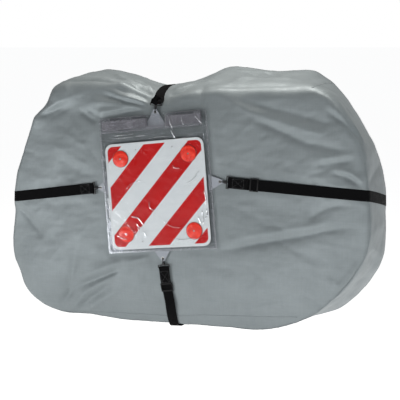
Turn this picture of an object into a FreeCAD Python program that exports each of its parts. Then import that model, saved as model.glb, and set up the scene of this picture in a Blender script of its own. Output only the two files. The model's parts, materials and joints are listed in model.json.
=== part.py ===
"""Cover for the bicycles on a caravan's rear rack, with a striped load warning
sign in a clear pocket and two webbing straps that cross on the pocket.

Units are millimetres.  +X is the right-hand side seen from behind the vehicle,
-Y points away from the vehicle (towards a follower), +Z is up.  The origin is
the centre of the bottom opening, in the plane of the hem's lower edge.
"""
import FreeCAD, Part
import math
import os

V = FreeCAD.Vector
os.makedirs("parts", exist_ok=True)

# ---------------------------------------------------------------- dimensions
HALF_DEPTH = 240.0        # front and back seams lie at y = -/+ this
FABRIC = 2.5              # coated fabric with its lining, as one wall
CENTRE_Z = 560.0          # the outlines are star shaped about (0, CENTRE_Z)

# seam outlines (x, z), anticlockwise seen from the front, starting bottom left
FRONT_OUTLINE = [
    (-607.9, 12.7), (-526.4, 8.0), (-444.6, 12.6), (-362.9, 12.0), (-281.2, 5.8), (-199.5, 5.2),
    (-117.7, 9.8), (-36.0, 14.6), (45.8, 16.6), (127.5, 20.8), (209.3, 23.4), (291.1, 25.2),
    (372.9, 26.6), (454.4, 33.4), (533.5, 54.4), (610.0, 83.4), (699.8, 132.2), (780.6, 195.0),
    (849.9, 270.2), (904.5, 356.7), (936.4, 453.6), (940.4, 555.8), (934.6, 658.0), (926.5, 760.1),
    (915.5, 861.9), (878.9, 956.6), (821.7, 1041.5), (755.2, 1119.3), (663.3, 1157.3), (596.1, 1158.6),
    (528.9, 1157.6), (461.7, 1155.8), (394.5, 1154.8), (327.2, 1152.8), (260.1, 1149.1), (193.7, 1138.8),
    (127.5, 1127.0), (61.6, 1113.5), (-3.7, 1097.7), (-69.5, 1083.8), (-133.3, 1094.8), (-192.7, 1126.4),
    (-253.1, 1155.7), (-318.8, 1168.8), (-386.0, 1168.7), (-453.2, 1165.9), (-520.4, 1165.6), (-581.2, 1141.2),
    (-648.4, 1066.6), (-710.0, 987.1), (-754.0, 896.9), (-784.8, 801.2), (-814.5, 705.1), (-837.1, 607.2),
    (-838.9, 506.7), (-847.5, 406.5), (-847.6, 306.1), (-819.2, 209.9), (-772.6, 121.1), (-699.2, 53.1),
]
MIDDLE_OUTLINE = [
    (-607.8, 12.8), (-528.3, 6.0), (-450.2, 5.7), (-368.5, 3.5), (-284.4, 2.4), (-201.8, 2.3),
    (-119.7, 2.9), (-36.8, 3.8), (46.7, 5.1), (130.4, 8.6), (214.3, 10.6), (298.1, 12.5),
    (381.6, 14.2), (466.0, 20.0), (553.5, 35.4), (640.3, 59.7), (740.9, 107.1), (821.0, 176.1),
    (881.5, 259.4), (923.5, 352.4), (941.2, 453.1), (941.0, 555.8), (936.6, 658.2), (922.0, 759.1),
    (897.8, 856.1), (854.8, 945.7), (799.9, 1028.7), (739.1, 1107.3), (663.7, 1157.6), (610.8, 1173.3),
    (552.3, 1184.0), (484.8, 1185.6), (413.0, 1182.7), (343.6, 1182.4), (275.6, 1184.2), (208.5, 1183.0),
    (139.4, 1180.0), (67.6, 1167.3), (-4.2, 1156.2), (-77.0, 1138.1), (-142.5, 1130.9), (-195.9, 1135.7),
    (-248.9, 1146.0), (-313.7, 1159.2), (-388.0, 1171.8), (-464.5, 1181.0), (-534.4, 1182.2), (-600.6, 1158.6),
    (-659.6, 1078.6), (-717.6, 991.3), (-758.8, 898.4), (-786.6, 801.7), (-815.9, 705.3), (-835.1, 607.1),
    (-840.9, 506.6), (-845.7, 406.8), (-841.8, 307.8), (-816.9, 210.9), (-772.5, 121.2), (-701.3, 51.6),
]
BACK_OUTLINE = [
    (-599.8, 19.9), (-521.6, 13.0), (-447.8, 8.7), (-367.2, 5.4), (-281.9, 4.4), (-200.0, 3.7),
    (-119.0, 3.9), (-36.7, 5.2), (46.7, 5.8), (130.4, 8.5), (214.8, 9.2), (299.0, 10.7),
    (383.1, 12.0), (469.8, 15.6), (564.8, 24.8), (661.3, 43.3), (772.5, 87.8), (851.0, 162.1),
    (902.0, 252.4), (931.4, 350.6), (934.5, 453.8), (929.2, 555.9), (926.5, 657.2), (905.6, 755.6),
    (869.1, 846.6), (819.8, 929.9), (767.7, 1009.8), (713.7, 1088.5), (656.0, 1150.6), (617.0, 1179.5),
    (568.5, 1202.3), (500.4, 1205.7), (424.5, 1200.0), (353.8, 1200.9), (286.2, 1208.2), (219.3, 1215.4),
    (148.7, 1218.5), (71.0, 1193.8), (-4.0, 1143.4), (-73.5, 1113.8), (-135.4, 1103.2), (-187.7, 1111.6),
    (-238.3, 1122.9), (-302.9, 1142.5), (-383.3, 1168.3), (-467.9, 1187.6), (-541.3, 1194.9), (-607.5, 1169.5),
    (-668.8, 1087.2), (-719.3, 993.9), (-754.4, 897.9), (-782.5, 800.5), (-805.2, 703.4), (-821.2, 606.3),
    (-830.1, 507.3), (-831.8, 409.4), (-825.0, 312.9), (-803.7, 216.5), (-762.8, 126.7), (-694.6, 56.4),
]
# first station of each gusset panel
UNDERSIDE_AT, RIGHT_AT, TOP_AT, LEFT_AT = 0, 15, 28, 47

# warning sign: centre of its front face and its three directions
SIGN = V(-45.0, -300.0, 646.0)
SU = V(0.99263243, -0.00438153, 0.12108536)      # to the right
SV = V(-0.12000166, 0.10257581, 0.98746028)      # up
SU.normalize()
SV = (SV - SU * SV.dot(SU)).normalize()
SN = SU.cross(SV)                                # out of the face
SIGN_SIZE = 500.0
SIGN_CORNER = 36.0
PLATE = 1.5
FILM = 0.3
HOLE_R = 2.75             # screw holes for fixing the sign to a rack
HOLE_U, HOLE_V = 93.0, 216.0
REFLECTOR_U, REFLECTOR_V = 172.0, 178.0
REFLECTOR_R = 40.0
FABRIC_AT = -19.2         # fabric's outer face behind the pocket, along SN

# pocket
PU0, PU1, PV0, PV1 = -277.0, 272.0, -267.0, 375.0
PVC = 0.8
BACK_SHEET_AT = -9.8
FRONT_SHEET_AT = 11.0
MOUTH_V = 300.0

# webbing and hooks
WEB_W, WEB_T = 50.0, 1.5
EYELET_TO_BASE = 30.2
HOOK_N = -10.25            # height of the hooks' axes, along SN
HOOKS = {                 # eyelet centre (u, v), direction away from the pocket (deg)
    "left": (-293.0, 50.0, 180.8),
    "right": (311.0, 38.0, -9.6),
    "top": (19.0, 382.0, 80.0),
    "bottom": (-1.0, -300.0, -88.0),
}
SLIDER_TRAVEL = 60.0

# bottom opening
SLOT_HALF, SLOT_R = 435.0, 140.0
HEM_T, HEM_H = 5.0, 32.0


# ------------------------------------------------------------------- helpers
def export(name, shapes):
    if not isinstance(shapes, (list, tuple)):
        shapes = [shapes]
    solids = []
    for s in shapes:
        solids += list(s.Solids)
    for s in solids:
        if not s.isValid() or s.Volume <= 0:
            print("CHECK", name, "valid", s.isValid(), "volume", s.Volume)
    out = solids[0] if len(solids) == 1 else Part.makeCompound(solids)
    out.exportStep("parts/%s.step" % name)
    b = out.BoundBox
    print("%-24s %2d solids  %9.1f cm3  x %.0f..%.0f  y %.0f..%.0f  z %.0f..%.0f"
          % (name, len(solids), sum(s.Volume for s in solids) / 1000.0,
             b.XMin, b.XMax, b.YMin, b.YMax, b.ZMin, b.ZMax))
    return out


def sp(u, v, n=0.0):
    """Point at (u, v) on the sign, n out of its face."""
    return SIGN + SU * u + SV * v + SN * n


def frame_matrix(o, x, y, z):
    return FreeCAD.Matrix(x.x, y.x, z.x, o.x, x.y, y.y, z.y, o.y, x.z, y.z, z.z, o.z, 0, 0, 0, 1)


def placed(shape, m):
    s = shape.copy()
    s.Placement = FreeCAD.Placement(m).multiply(s.Placement)
    return s


SIGN_M = frame_matrix(SIGN, SU, SV, SN)


def on_sign(shape):
    return placed(shape, SIGN_M)


def plate_at(u0, u1, v0, v1, n0, n1, r=0.0):
    """Plate in the sign's own directions, with corner radius r."""
    b = Part.makeBox(u1 - u0, v1 - v0, n1 - n0, V(u0, v0, n0))
    if r > 0:
        edges = [e for e in b.Edges if abs(e.Vertexes[0].Z - e.Vertexes[1].Z) > 1e-6]
        b = b.makeFillet(r, edges)
    return b


def cyl(x, y, z0, z1, r):
    return Part.makeCylinder(r, z1 - z0, V(x, y, z0))


def sheet_y(x, z):
    """y of the fabric plane behind the pocket."""
    o = SIGN + SN * FABRIC_AT
    return o.y - (SN.x * (x - o.x) + SN.z * (z - o.z)) / SN.y


def seam_y(z):
    """Front seam's plane, drawn back a little towards the top."""
    t = min(max((z - 450.0) / 700.0, 0.0), 1.1)
    return -HALF_DEPTH + 14.0 * t * t


def fade(t):
    t = min(max(t, 0.0), 1.25)
    return 1.0 - t * t


def front_y(x, z):
    """Outer face of the front panel: flat behind the pocket, drawn back to the
    seam all round."""
    wx = fade((abs(x + 45.0) - 300.0) / (598.0 if x < -45 else 680.0) if abs(x + 45.0) > 300.0 else 0.0)
    wz = fade((z - 960.0) / 215.0 if z > 960.0 else ((300.0 - z) / 300.0 if z < 300.0 else 0.0))
    base = seam_y(z)
    return base + (sheet_y(x, z) - base) * max(wx, -0.2) * max(wz, -0.2)


def back_y(x, z):
    wx = fade(abs(x) / 950.0)
    wz = fade(abs(z - 580.0) / 640.0)
    return HALF_DEPTH + 26.0 * max(wx, 0.0) * max(wz, 0.0)


def surface_face(grid):
    s = Part.BSplineSurface()
    s.interpolate(grid)
    return s


def iso_edge(s, which, end):
    u0, u1, v0, v1 = s.bounds()
    if which == "u":
        c = s.uIso(u0 if end == 0 else u1)
    else:
        c = s.vIso(v0 if end == 0 else v1)
    return c.toShape()


def thick_patch(outer, inner):
    """Solid between two interpolated grids of points."""
    so, si = surface_face(outer), surface_face(inner)
    faces = [so.toShape(), si.toShape()]
    for which in ("u", "v"):
        for end in (0, 1):
            faces.append(Part.makeRuledSurface(iso_edge(so, which, end), iso_edge(si, which, end)))
    sh = Part.Shell(Part.Compound(faces).Faces)
    if not sh.isClosed():
        c = Part.Compound(faces)
        c.sewShape(0.01)
        sh = c.Shells[0]
    sol = Part.Solid(sh)
    if sol.Volume < 0:
        sol.reverse()
    return sol


def inward(p, d):
    """Point of an outline moved d towards the middle."""
    dx, dz = p[0], p[1] - CENTRE_Z
    r = math.hypot(dx, dz)
    return (p[0] - dx / r * d, p[1] - dz / r * d)


def outline_prism(points, y0, y1):
    c = Part.BSplineCurve()
    c.interpolate([V(x, y0, z) for x, z in points], PeriodicFlag=True)
    return Part.Face(Part.Wire([c.toShape()])).extrude(V(0, y1 - y0, 0))


def offset_outline(points, d):
    """Outline moved d inwards along its own normal."""
    n = len(points)
    out = []
    for i in range(n):
        a, b = points[i - 1], points[(i + 1) % n]
        tx, tz = b[0] - a[0], b[1] - a[1]
        l = math.hypot(tx, tz)
        nx, nz = -tz / l, tx / l              # inward for an anticlockwise outline
        out.append((points[i][0] + nx * d, points[i][1] + nz * d))
    return out


def loft(sections):
    """Ruled solid through rectangular sections, each four points."""
    faces = [Part.Face(Part.makePolygon(list(q) + [q[0]])) for q in (sections[0], sections[-1])]
    for p, q in zip(sections[:-1], sections[1:]):
        for k in range(4):
            j = (k + 1) % 4
            faces.append(Part.makeRuledSurface(Part.makeLine(p[k], p[j]), Part.makeLine(q[k], q[j])))
    c = Part.Compound(faces)
    c.sewShape(0.001)
    sol = Part.Solid(c.Shells[0])
    if sol.Volume < 0:
        sol.reverse()
    return sol


def band(stations, width=WEB_W, thick=WEB_T):
    """Webbing through stations of (centre, width direction, outward normal)."""
    out = []
    for c, w, n in stations:
        w = V(w).normalize()
        n = V(n) - w * V(n).dot(w)
        n.normalize()
        a, b = w * (width / 2), n * (thick / 2)
        out.append([c - a - b, c + a - b, c + a + b, c - a + b])
    return loft(out)


def thick_line(points, t):
    """Closed polygon of thickness t about an open line in the XZ plane."""
    left, right = [], []
    n = len(points)
    for i, (x, z) in enumerate(points):
        dirs = []
        if i > 0:
            dirs.append((x - points[i - 1][0], z - points[i - 1][1]))
        if i < n - 1:
            dirs.append((points[i + 1][0] - x, points[i + 1][1] - z))
        ns = []
        for dx, dz in dirs:
            l = math.hypot(dx, dz)
            ns.append((-dz / l, dx / l))
        mx, mz = sum(a for a, b in ns), sum(b for a, b in ns)
        l = math.hypot(mx, mz)
        mx, mz = mx / l, mz / l
        k = 1.0 / max(0.35, mx * ns[0][0] + mz * ns[0][1])
        left.append((x + mx * t / 2 * k, z + mz * t / 2 * k))
        right.append((x - mx * t / 2 * k, z - mz * t / 2 * k))
    return left + right[::-1]


def prism_xz(points, y0, y1):
    w = Part.makePolygon([V(x, y0, z) for x, z in points] + [V(points[0][0], y0, points[0][1])])
    return Part.Face(w).extrude(V(0, y1 - y0, 0))


# --------------------------------------------------------------- cover panels
N_ST = len(FRONT_OUTLINE)


def gusset_rows(i, inset):
    """Points of one gusset rib, from the front seam to the back seam."""
    f, m, b = (inward(o[i % N_ST], inset) for o in (FRONT_OUTLINE, MIDDLE_OUTLINE, BACK_OUTLINE))
    y0 = front_y(*FRONT_OUTLINE[i % N_ST]) + FABRIC + 0.4
    y1 = back_y(*BACK_OUTLINE[i % N_ST]) - FABRIC - 0.4
    row = []
    for k in range(5):
        t = k / 4.0
        wf, wm, wb = (1 - t) * (1 - 2 * t), 4 * t * (1 - t), t * (2 * t - 1)
        row.append(V(f[0] * wf + m[0] * wm + b[0] * wb, y0 + (y1 - y0) * t,
                     f[1] * wf + m[1] * wm + b[1] * wb))
    return row


def gusset(i0, i1):
    idx = range(i0, i1 + 1)
    return thick_patch([gusset_rows(i, 0.0) for i in idx], [gusset_rows(i, FABRIC) for i in idx])


def panel_slab(fn, y_shift, thickness, nx=31, nz=25):
    grid = []
    for i in range(nx):
        x = -880.0 + (975.0 + 880.0) * i / (nx - 1)
        grid.append([V(x, fn(x, -30.0 + 1270.0 * j / (nz - 1)) + y_shift, -30.0 + 1270.0 * j / (nz - 1))
                     for j in range(nz)])
    return surface_face(grid).toShape().extrude(V(0, thickness, 0))


front_prism = outline_prism(FRONT_OUTLINE, -600.0, 0.0)
back_prism = outline_prism(BACK_OUTLINE, 0.0, 600.0)
export("front_panel", panel_slab(front_y, 0.0, FABRIC).common(front_prism))
export("back_panel", panel_slab(back_y, -FABRIC, FABRIC).common(back_prism))
export("gusset_right", gusset(RIGHT_AT, TOP_AT))
export("gusset_top", gusset(TOP_AT, LEFT_AT))
export("gusset_left", gusset(LEFT_AT, N_ST))


def racetrack(inset, z0, z1):
    r = SLOT_R - inset
    h = SLOT_HALF - SLOT_R
    s = Part.makeBox(2 * h, 2 * r, z1 - z0, V(-h, -r, z0))
    return s.fuse([Part.makeCylinder(r, z1 - z0, V(-h, 0, z0)),
                   Part.makeCylinder(r, z1 - z0, V(h, 0, z0))]).removeSplitter()


export("underside_panel", gusset(UNDERSIDE_AT, RIGHT_AT).cut(racetrack(0.0, -60.0, 120.0)))

hem = racetrack(0.15, 0.0, HEM_H).cut(racetrack(HEM_T, -1.0, HEM_H + 1))
channel = racetrack(1.2, 4.5, HEM_H - 4.5).cut(racetrack(HEM_T - 1.2, 0.0, HEM_H))
export("hem_band", hem.cut(channel))
export("hem_elastic", racetrack(1.6, 6.0, HEM_H - 6.0).cut(racetrack(HEM_T - 1.6, 0.0, HEM_H)))

# binding tapes that cover the two seams inside
tape_ring = outline_prism(offset_outline(FRONT_OUTLINE, 12.0), -600.0, 0.0).cut(
    outline_prism(offset_outline(FRONT_OUTLINE, 32.0), -600.0, 0.0))
export("front_seam_tape", panel_slab(front_y, FABRIC + 0.1, 0.9).common(tape_ring))
tape_ring = outline_prism(offset_outline(BACK_OUTLINE, 9.0), 0.0, 600.0).cut(
    outline_prism(offset_outline(BACK_OUTLINE, 29.0), 0.0, 600.0))
export("back_seam_tape", panel_slab(back_y, -FABRIC - 1.0, 0.9).common(tape_ring))

# --------------------------------------------------------------- warning sign
half = SIGN_SIZE / 2
HOLES = [(sx * HOLE_U, sy * HOLE_V) for sx in (-1, 1) for sy in (-1, 1)]
REFS = [(sx * REFLECTOR_U, sy * REFLECTOR_V) for sx in (-1, 1) for sy in (-1, 1)]
SCREW_R = 2.0

plate = plate_at(-half, half, -half, half, -PLATE, 0.0, SIGN_CORNER)
plate = plate.cut([cyl(u, v, -5, 5, HOLE_R) for u, v in HOLES]
                  + [cyl(u, v, -5, 5, SCREW_R + 0.2) for u, v in REFS])
export("sign_plate", on_sign(plate))

film = plate_at(-half + 1, half - 1, -half + 1, half - 1, 0.0, FILM, SIGN_CORNER - 1)
film = film.cut([cyl(u, v, -5, 5, HOLE_R + 0.6) for u, v in HOLES]
                + [cyl(u, v, -5, 5, SCREW_R + 0.2) for u, v in REFS])
export("sign_stripes", on_sign(film))

bases, lenses, screws, nuts = [], [], [], []
for u, v in REFS:
    b = cyl(u, v, FILM, FILM + 3.4, REFLECTOR_R)
    b = b.cut(cyl(u, v, FILM + 1.4, FILM + 4, REFLECTOR_R - 1.8)).cut(cyl(u, v, 0, 9, SCREW_R + 0.2))
    bases.append(on_sign(b))
    # shallow dome: sphere cap over a short wall
    r, h0, h1 = REFLECTOR_R - 2.0, FILM + 1.5, FILM + 4.2
    rise = 3.0
    rs = (r * r + rise * rise) / (2 * rise)
    dome = Part.makeSphere(rs, V(u, v, h1 + rise - rs)).common(cyl(u, v, h1 - 0.001, h1 + rise + 1, r))
    l = cyl(u, v, h0, h1, r).fuse(dome).removeSplitter()
    l = l.cut(cyl(u, v, 0, 12, SCREW_R + 0.2)).cut(cyl(u, v, FILM + 5.4, 14, 4.4))
    lenses.append(on_sign(l))
    s = cyl(u, v, -5.6, FILM + 5.4, SCREW_R).fuse(cyl(u, v, FILM + 5.4, FILM + 7.4, 3.8))
    s = s.cut(Part.makeBox(5.0, 0.9, 2.0, V(u - 2.5, v - 0.45, FILM + 6.4)))
    s = s.cut(Part.makeBox(0.9, 5.0, 2.0, V(u - 0.45, v - 2.5, FILM + 6.4)))
    screws.append(on_sign(s))
    hexa = Part.Face(Part.makePolygon([V(u + 4.04 * math.cos(math.radians(60 * k + 30)),
                                         v + 4.04 * math.sin(math.radians(60 * k + 30)), -4.7)
                                       for k in range(7)])).extrude(V(0, 0, 3.2))
    nuts.append(on_sign(hexa.cut(cyl(u, v, -9, 0, SCREW_R + 0.02))))
export("reflector_bases", bases)
export("reflector_lenses", lenses)
export("reflector_screws", screws)
export("reflector_nuts", nuts)

# --------------------------------------------------------------------- pocket
export("pocket_back_sheet", on_sign(plate_at(PU0, PU1, PV0, PV1, BACK_SHEET_AT, BACK_SHEET_AT + PVC, 6.0)))

WELD = 8.0                # flat weld round the front sheet
SLOPE = 12.0              # how far the raised part is set in from the weld


def frustum(a, n0, n1, v_top):
    def rect(d, n):
        return Part.makePolygon([V(PU0 + d, PV0 + d, n), V(PU1 - d, PV0 + d, n), V(PU1 - d, v_top, n),
                                 V(PU0 + d, v_top, n), V(PU0 + d, PV0 + d, n)])
    return Part.makeLoft([rect(a, n0), rect(a + SLOPE, n1)], True, True)


n_flange = BACK_SHEET_AT + PVC
outer = frustum(WELD, n_flange, FRONT_SHEET_AT + PVC, MOUTH_V)
inner = frustum(WELD + PVC, n_flange - 0.01, FRONT_SHEET_AT, MOUTH_V + 0.01)
flange = plate_at(PU0 + 0.5, PU1 - 0.5, PV0 + 0.5, MOUTH_V, n_flange, n_flange + PVC)
flange = flange.cut(plate_at(PU0 + WELD + 0.4, PU1 - WELD - 0.4, PV0 + WELD + 0.4, MOUTH_V + 1,
                             n_flange - 1, n_flange + 3))
export("pocket_front_sheet", on_sign(outer.cut(inner).fuse(flange).removeSplitter()))

LIP_V0, LIP_V1 = MOUTH_V + 0.6, PV1 - 3.0
LIP_U0, LIP_U1 = PU0 + WELD + SLOPE, PU1 - WELD - SLOPE
export("mouth_lip", on_sign(plate_at(LIP_U0, LIP_U1, LIP_V0, LIP_V1, FRONT_SHEET_AT, FRONT_SHEET_AT + PVC)))
export("closure_tape_front", on_sign(plate_at(LIP_U0 + 6, LIP_U1 - 6, LIP_V0 + 14, LIP_V1 - 14,
                                              FRONT_SHEET_AT - 1.2, FRONT_SHEET_AT)))
export("closure_tape_back", on_sign(plate_at(LIP_U0 + 6, LIP_U1 - 6, LIP_V0 + 14, LIP_V1 - 14,
                                             n_flange, n_flange + 1.2)))

# triangular tabs welded behind the back sheet, each with an eyelet at its tip
TAB_T = 0.8
TAB_N1 = BACK_SHEET_AT
EYE_R, EYE_BARREL, EYE_FLANGE = 4.5, 5.4, 6.8
tabs, eyelets, washers = [], [], []
for name, (eu, ev, ang) in HOOKS.items():
    side = {"left": (-1, 0), "right": (1, 0), "top": (0, 1), "bottom": (0, -1)}[name]
    # base line inside the pocket, parallel to its edge
    base = {"left": (PU0 + 27.0, ev), "right": (PU1 - 17.0, ev), "top": (eu - 6.0, PV1 - 64.0),
            "bottom": (eu, PV0 - 7.0 + 20.0)}[name]
    hw = {"left": 42.0, "right": 38.0, "top": 58.0, "bottom": 46.0}[name]
    tx, ty = -side[1], side[0]
    tip = (eu + side[0] * 13.5, ev + side[1] * 13.5)
    pts = [(base[0] + tx * hw, base[1] + ty * hw), (base[0] - tx * hw, base[1] - ty * hw),
           (tip[0] - tx * 7, tip[1] - ty * 7), (tip[0] + tx * 7, tip[1] + ty * 7)]
    w = Part.makePolygon([V(x, y, TAB_N1 - TAB_T) for x, y in pts] + [V(pts[0][0], pts[0][1], TAB_N1 - TAB_T)])
    t = Part.Face(w).extrude(V(0, 0, TAB_T))
    if t.Volume < 0:
        t.reverse()
    t = t.cut(cyl(eu, ev, TAB_N1 - 3, TAB_N1 + 3, EYE_BARREL))
    tabs.append(on_sign(t))
    e = cyl(eu, ev, TAB_N1 - TAB_T, TAB_N1 + 0.5, EYE_BARREL).fuse(cyl(eu, ev, TAB_N1, TAB_N1 + 0.5, EYE_FLANGE))
    eyelets.append(on_sign(e.cut(cyl(eu, ev, TAB_N1 - 3, TAB_N1 + 3, EYE_R)).removeSplitter()))
    washers.append(on_sign(cyl(eu, ev, TAB_N1 - TAB_T - 0.5, TAB_N1 - TAB_T, EYE_FLANGE - 0.5).cut(
        cyl(eu, ev, TAB_N1 - 3, TAB_N1 + 3, EYE_R))))
export("pocket_tabs", tabs)
export("tab_eyelets", eyelets)
export("eyelet_washers", washers)

# ---------------------------------------------------------------------- hooks
# local frame: X runs from the base towards the eyelet, Y is the width, Z is SN
BAR = 5.0                 # bar thickness along SN
WIRE = 2.0
hook_frames = {}
for name, (eu, ev, ang) in HOOKS.items():
    a = math.radians(ang)
    out = SU * math.cos(a) + SV * math.sin(a)      # away from the pocket
    ax = out * -1.0
    wy = SN.cross(ax)
    o = sp(eu, ev, HOOK_N) + out * EYELET_TO_BASE
    hook_frames[name] = (o, ax, wy, SN)


def hook_base():
    b = plate_at(-14.0, 0.0, -29.0, 29.0, -BAR / 2, BAR / 2)
    edges = [e for e in b.Edges if abs(e.Vertexes[0].Z - e.Vertexes[1].Z) > 1e-6]
    b = b.makeFillet(2.5, edges)
    b = b.cut(plate_at(-10.0, -3.2, -26.0, 26.0, -5, 5))
    boss = Part.makeCylinder(6.2, 9.0, V(0, 0, 0), V(1, 0, 0)).fuse(
        Part.makeCylinder(6.2, 3.0, V(-3.0, 0, 0), V(1, 0, 0)))
    boss = boss.common(Part.makeBox(14, 14, 12.0, V(-3.0, -7, -6.0)))
    b = b.fuse(boss)
    b = b.cut(Part.makeCylinder(2.6, 6.0, V(5.0, 0, 0), V(1, 0, 0)))
    b = b.cut(Part.makeCylinder(4.4, 4.8, V(1.2, 0, 0), V(1, 0, 0)))
    return b.removeSplitter()


def hook_body():
    head = Part.makeCylinder(4.1, 3.8, V(1.7, 0, 0), V(1, 0, 0))
    stem = Part.makeCylinder(2.5, 5.0, V(5.0, 0, 0), V(1, 0, 0))
    yoke = Part.makeBox(4.2, 5.4, 16.0, V(9.3, -2.7, -8.0))
    loop = Part.makeTorus(6.0, WIRE, V(24.2, 0, 0), V(0, 1, 0))
    loop = loop.common(Part.makeBox(12, 12, 20, V(24.2, -6, -10)))
    front = Part.makeCylinder(WIRE, 24.2 - 12.0, V(12.0, 0, 6.0), V(1, 0, 0))
    nose = Part.makeCylinder(WIRE, 1.2, V(23.0, 0, -6.0), V(1, 0, 0))
    ears = [Part.makeBox(4.4, 1.0, 4.0, V(13.0, 1.7, -8.0)), Part.makeBox(4.4, 1.0, 4.0, V(13.0, -2.7, -8.0))]
    pin = Part.makeCylinder(0.8, 5.4, V(15.5, -2.7, -6.0), V(0, 1, 0))
    return head.fuse([stem, yoke, loop, front, nose, pin] + ears).removeSplitter()


def hook_gate():
    bar = Part.makeCylinder(1.4, 22.7 - 15.5, V(15.5, 0, -6.0), V(1, 0, 0))
    eye = Part.makeCylinder(1.7, 1.4, V(15.5, -0.7, -6.0), V(0, 1, 0))
    side = Part.makeBox(20, 2.8, 6, V(10, -1.4, -9))
    g = bar.fuse(eye)
    # narrow the root so that the return springs fit between it and the ears
    g = g.cut([Part.makeBox(4.0, 2.0, 6, V(13.5, 0.7, -9)), Part.makeBox(4.0, 2.0, 6, V(13.5, -2.7, -9))])
    return g.cut(Part.makeCylinder(0.86, 8, V(15.5, -4, -6.0), V(0, 1, 0))).removeSplitter()


def gate_spring():
    ring = Part.makeCylinder(1.5, 0.7, V(15.5, 0.85, -6.0), V(0, 1, 0)).cut(
        Part.makeCylinder(0.9, 4, V(15.5, -1, -6.0), V(0, 1, 0)))
    return ring


for name in HOOKS:
    o, ax, wy, nz = hook_frames[name]
    m = frame_matrix(o, ax, wy, nz)
    export("hook_base_" + name, placed(hook_base(), m))
    export("hook_body_" + name, placed(hook_body(), m))
    export("hook_gate_" + name, placed(hook_gate(), m))
    export("gate_spring_" + name, placed(gate_spring(), m))

# ------------------------------------------------------------------- webbing
GAP = 2.8                 # strap's middle plane above the fabric


def lp(name, x, y, z):
    o, ax, wy, nz = hook_frames[name]
    return o + ax * x + wy * y + nz * z


def front_normal(x, z):
    e = 4.0
    dx = (front_y(x + e, z) - front_y(x - e, z)) / (2 * e)
    dz = (front_y(x, z + e) - front_y(x, z - e)) / (2 * e)
    return V(dx, -1.0, dz).normalize()


def loop_end(name, reach):
    """Webbing round the rear bar of a base, its two layers joined behind it."""
    line = [(-reach, -0.9), (-22.0, -0.9), (-15.6, -3.55), (-8.0, -3.55), (-8.0, 3.55), (-15.6, 3.55),
            (-22.0, 0.9), (-reach, 0.9)]
    s = prism_xz(thick_line(line, WEB_T), -WEB_W / 2, WEB_W / 2)
    o, ax, wy, nz = hook_frames[name]
    return placed(s, frame_matrix(o, ax, wy, nz))


def rib_point(i_frac, t, lift):
    """Point on a gusset at a fractional station, t from front seam to back,
    lifted outwards."""
    i = int(math.floor(i_frac)) % N_ST
    k = i_frac - math.floor(i_frac)
    a, b = gusset_rows(i, -lift), gusset_rows(i + 1, -lift)
    s = t * 4.0
    j = min(3, int(s))
    q = s - j
    pa = a[j] + (a[j + 1] - a[j]) * q
    pb = b[j] + (b[j + 1] - b[j]) * q
    return pa + (pb - pa) * k


def station_at(outline, value, axis, lo, hi):
    """Fractional station between lo and hi where the outline's x or z is value."""
    best = None
    for i in range(lo, hi):
        a, b = outline[i % N_ST][axis], outline[(i + 1) % N_ST][axis]
        if (a - value) * (b - value) <= 0 and a != b:
            best = i + (value - a) / (b - a)
    return best


def side_path(z_front, z_back, lo, hi, sign):
    """Stations round one side, from the front seam to the back seam."""
    out = []
    for k in range(9):
        t = k / 8.0
        z = z_front + (z_back - z_front) * t
        sf = station_at(FRONT_OUTLINE, z, 1, lo, hi)
        sb = station_at(BACK_OUTLINE, z, 1, lo, hi)
        p = rib_point(sf + (sb - sf) * t, t, GAP + 2.4)
        out.append((V(p.x, p.y, z), V(0, 0, 1), V(sign, 0, 0)))
    return out


def spread(p, q, n):
    return [p + (q - p) * (k / float(n)) for k in range(n + 1)]


# --- horizontal strap
Z_LEFT_FRONT, Z_LEFT_BACK, Z_RIGHT_FRONT, Z_RIGHT_BACK = 584.0, 578.0, 686.0, 585.0
reach = 60.0
st = []
# left: from the fixed end over the front to the left seam
pL = lp("left", -reach, 0, 0)
xl = -841.0
c1 = V(xl + 14, 0, Z_LEFT_FRONT)
n_seg = 12
for k in range(0, n_seg + 1):
    t = k / float(n_seg)
    x = pL.x + (c1.x - pL.x) * t
    z = pL.z + (c1.z - pL.z) * t
    d = GAP + (9.0 - GAP) * max(0.0, 1 - t * 2.2)
    nrm = front_normal(x, z)
    y = front_y(x, z) - d
    if k == 0:
        st.append((pL, hook_frames["left"][2] * -1.0, SN))
    else:
        st.append((V(x, y, z), V(0.02, 0, 1.0), nrm))
left_end_station = st[0]
yl = front_y(xl + 4, Z_LEFT_FRONT)
corner_l = [(V(xl + 5, yl - GAP - 1.2, Z_LEFT_FRONT), V(0, 0, 1), V(-0.4, -1, 0)),
            (V(xl - 5.5, yl - 1.5, Z_LEFT_FRONT), V(0, 0, 1), V(-1, -1, 0)),
            (V(xl - 8.0, seam_y(Z_LEFT_FRONT) + 7.0, Z_LEFT_FRONT), V(0, 0, 1), V(-1, -0.3, 0))]
side_l = side_path(Z_LEFT_FRONT, Z_LEFT_BACK, LEFT_AT, N_ST, -1)
side_r = side_path(Z_RIGHT_FRONT, Z_RIGHT_BACK, RIGHT_AT, TOP_AT, 1)
back = []
xb0, xb1 = side_l[-1][0].x, side_r[-1][0].x
for k in range(0, 15):
    t = k / 14.0
    x = xb0 + 12 + (xb1 - xb0 - 24) * t
    z = Z_LEFT_BACK + (Z_RIGHT_BACK - Z_LEFT_BACK) * t
    back.append((V(x, back_y(x, z) + GAP + 0.6, z), V(0, 0, 1), V(0, 1, 0)))
corner_bl = [(V(xb0 - 2.0, HALF_DEPTH + 8.0, Z_LEFT_BACK), V(0, 0, 1), V(-1, 1, 0))]
corner_br = [(V(xb1 + 1.5, HALF_DEPTH + 2.5, Z_RIGHT_BACK), V(0, 0, 1), V(1, 1, 0))]
xr = side_r[0][0].x - GAP
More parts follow.
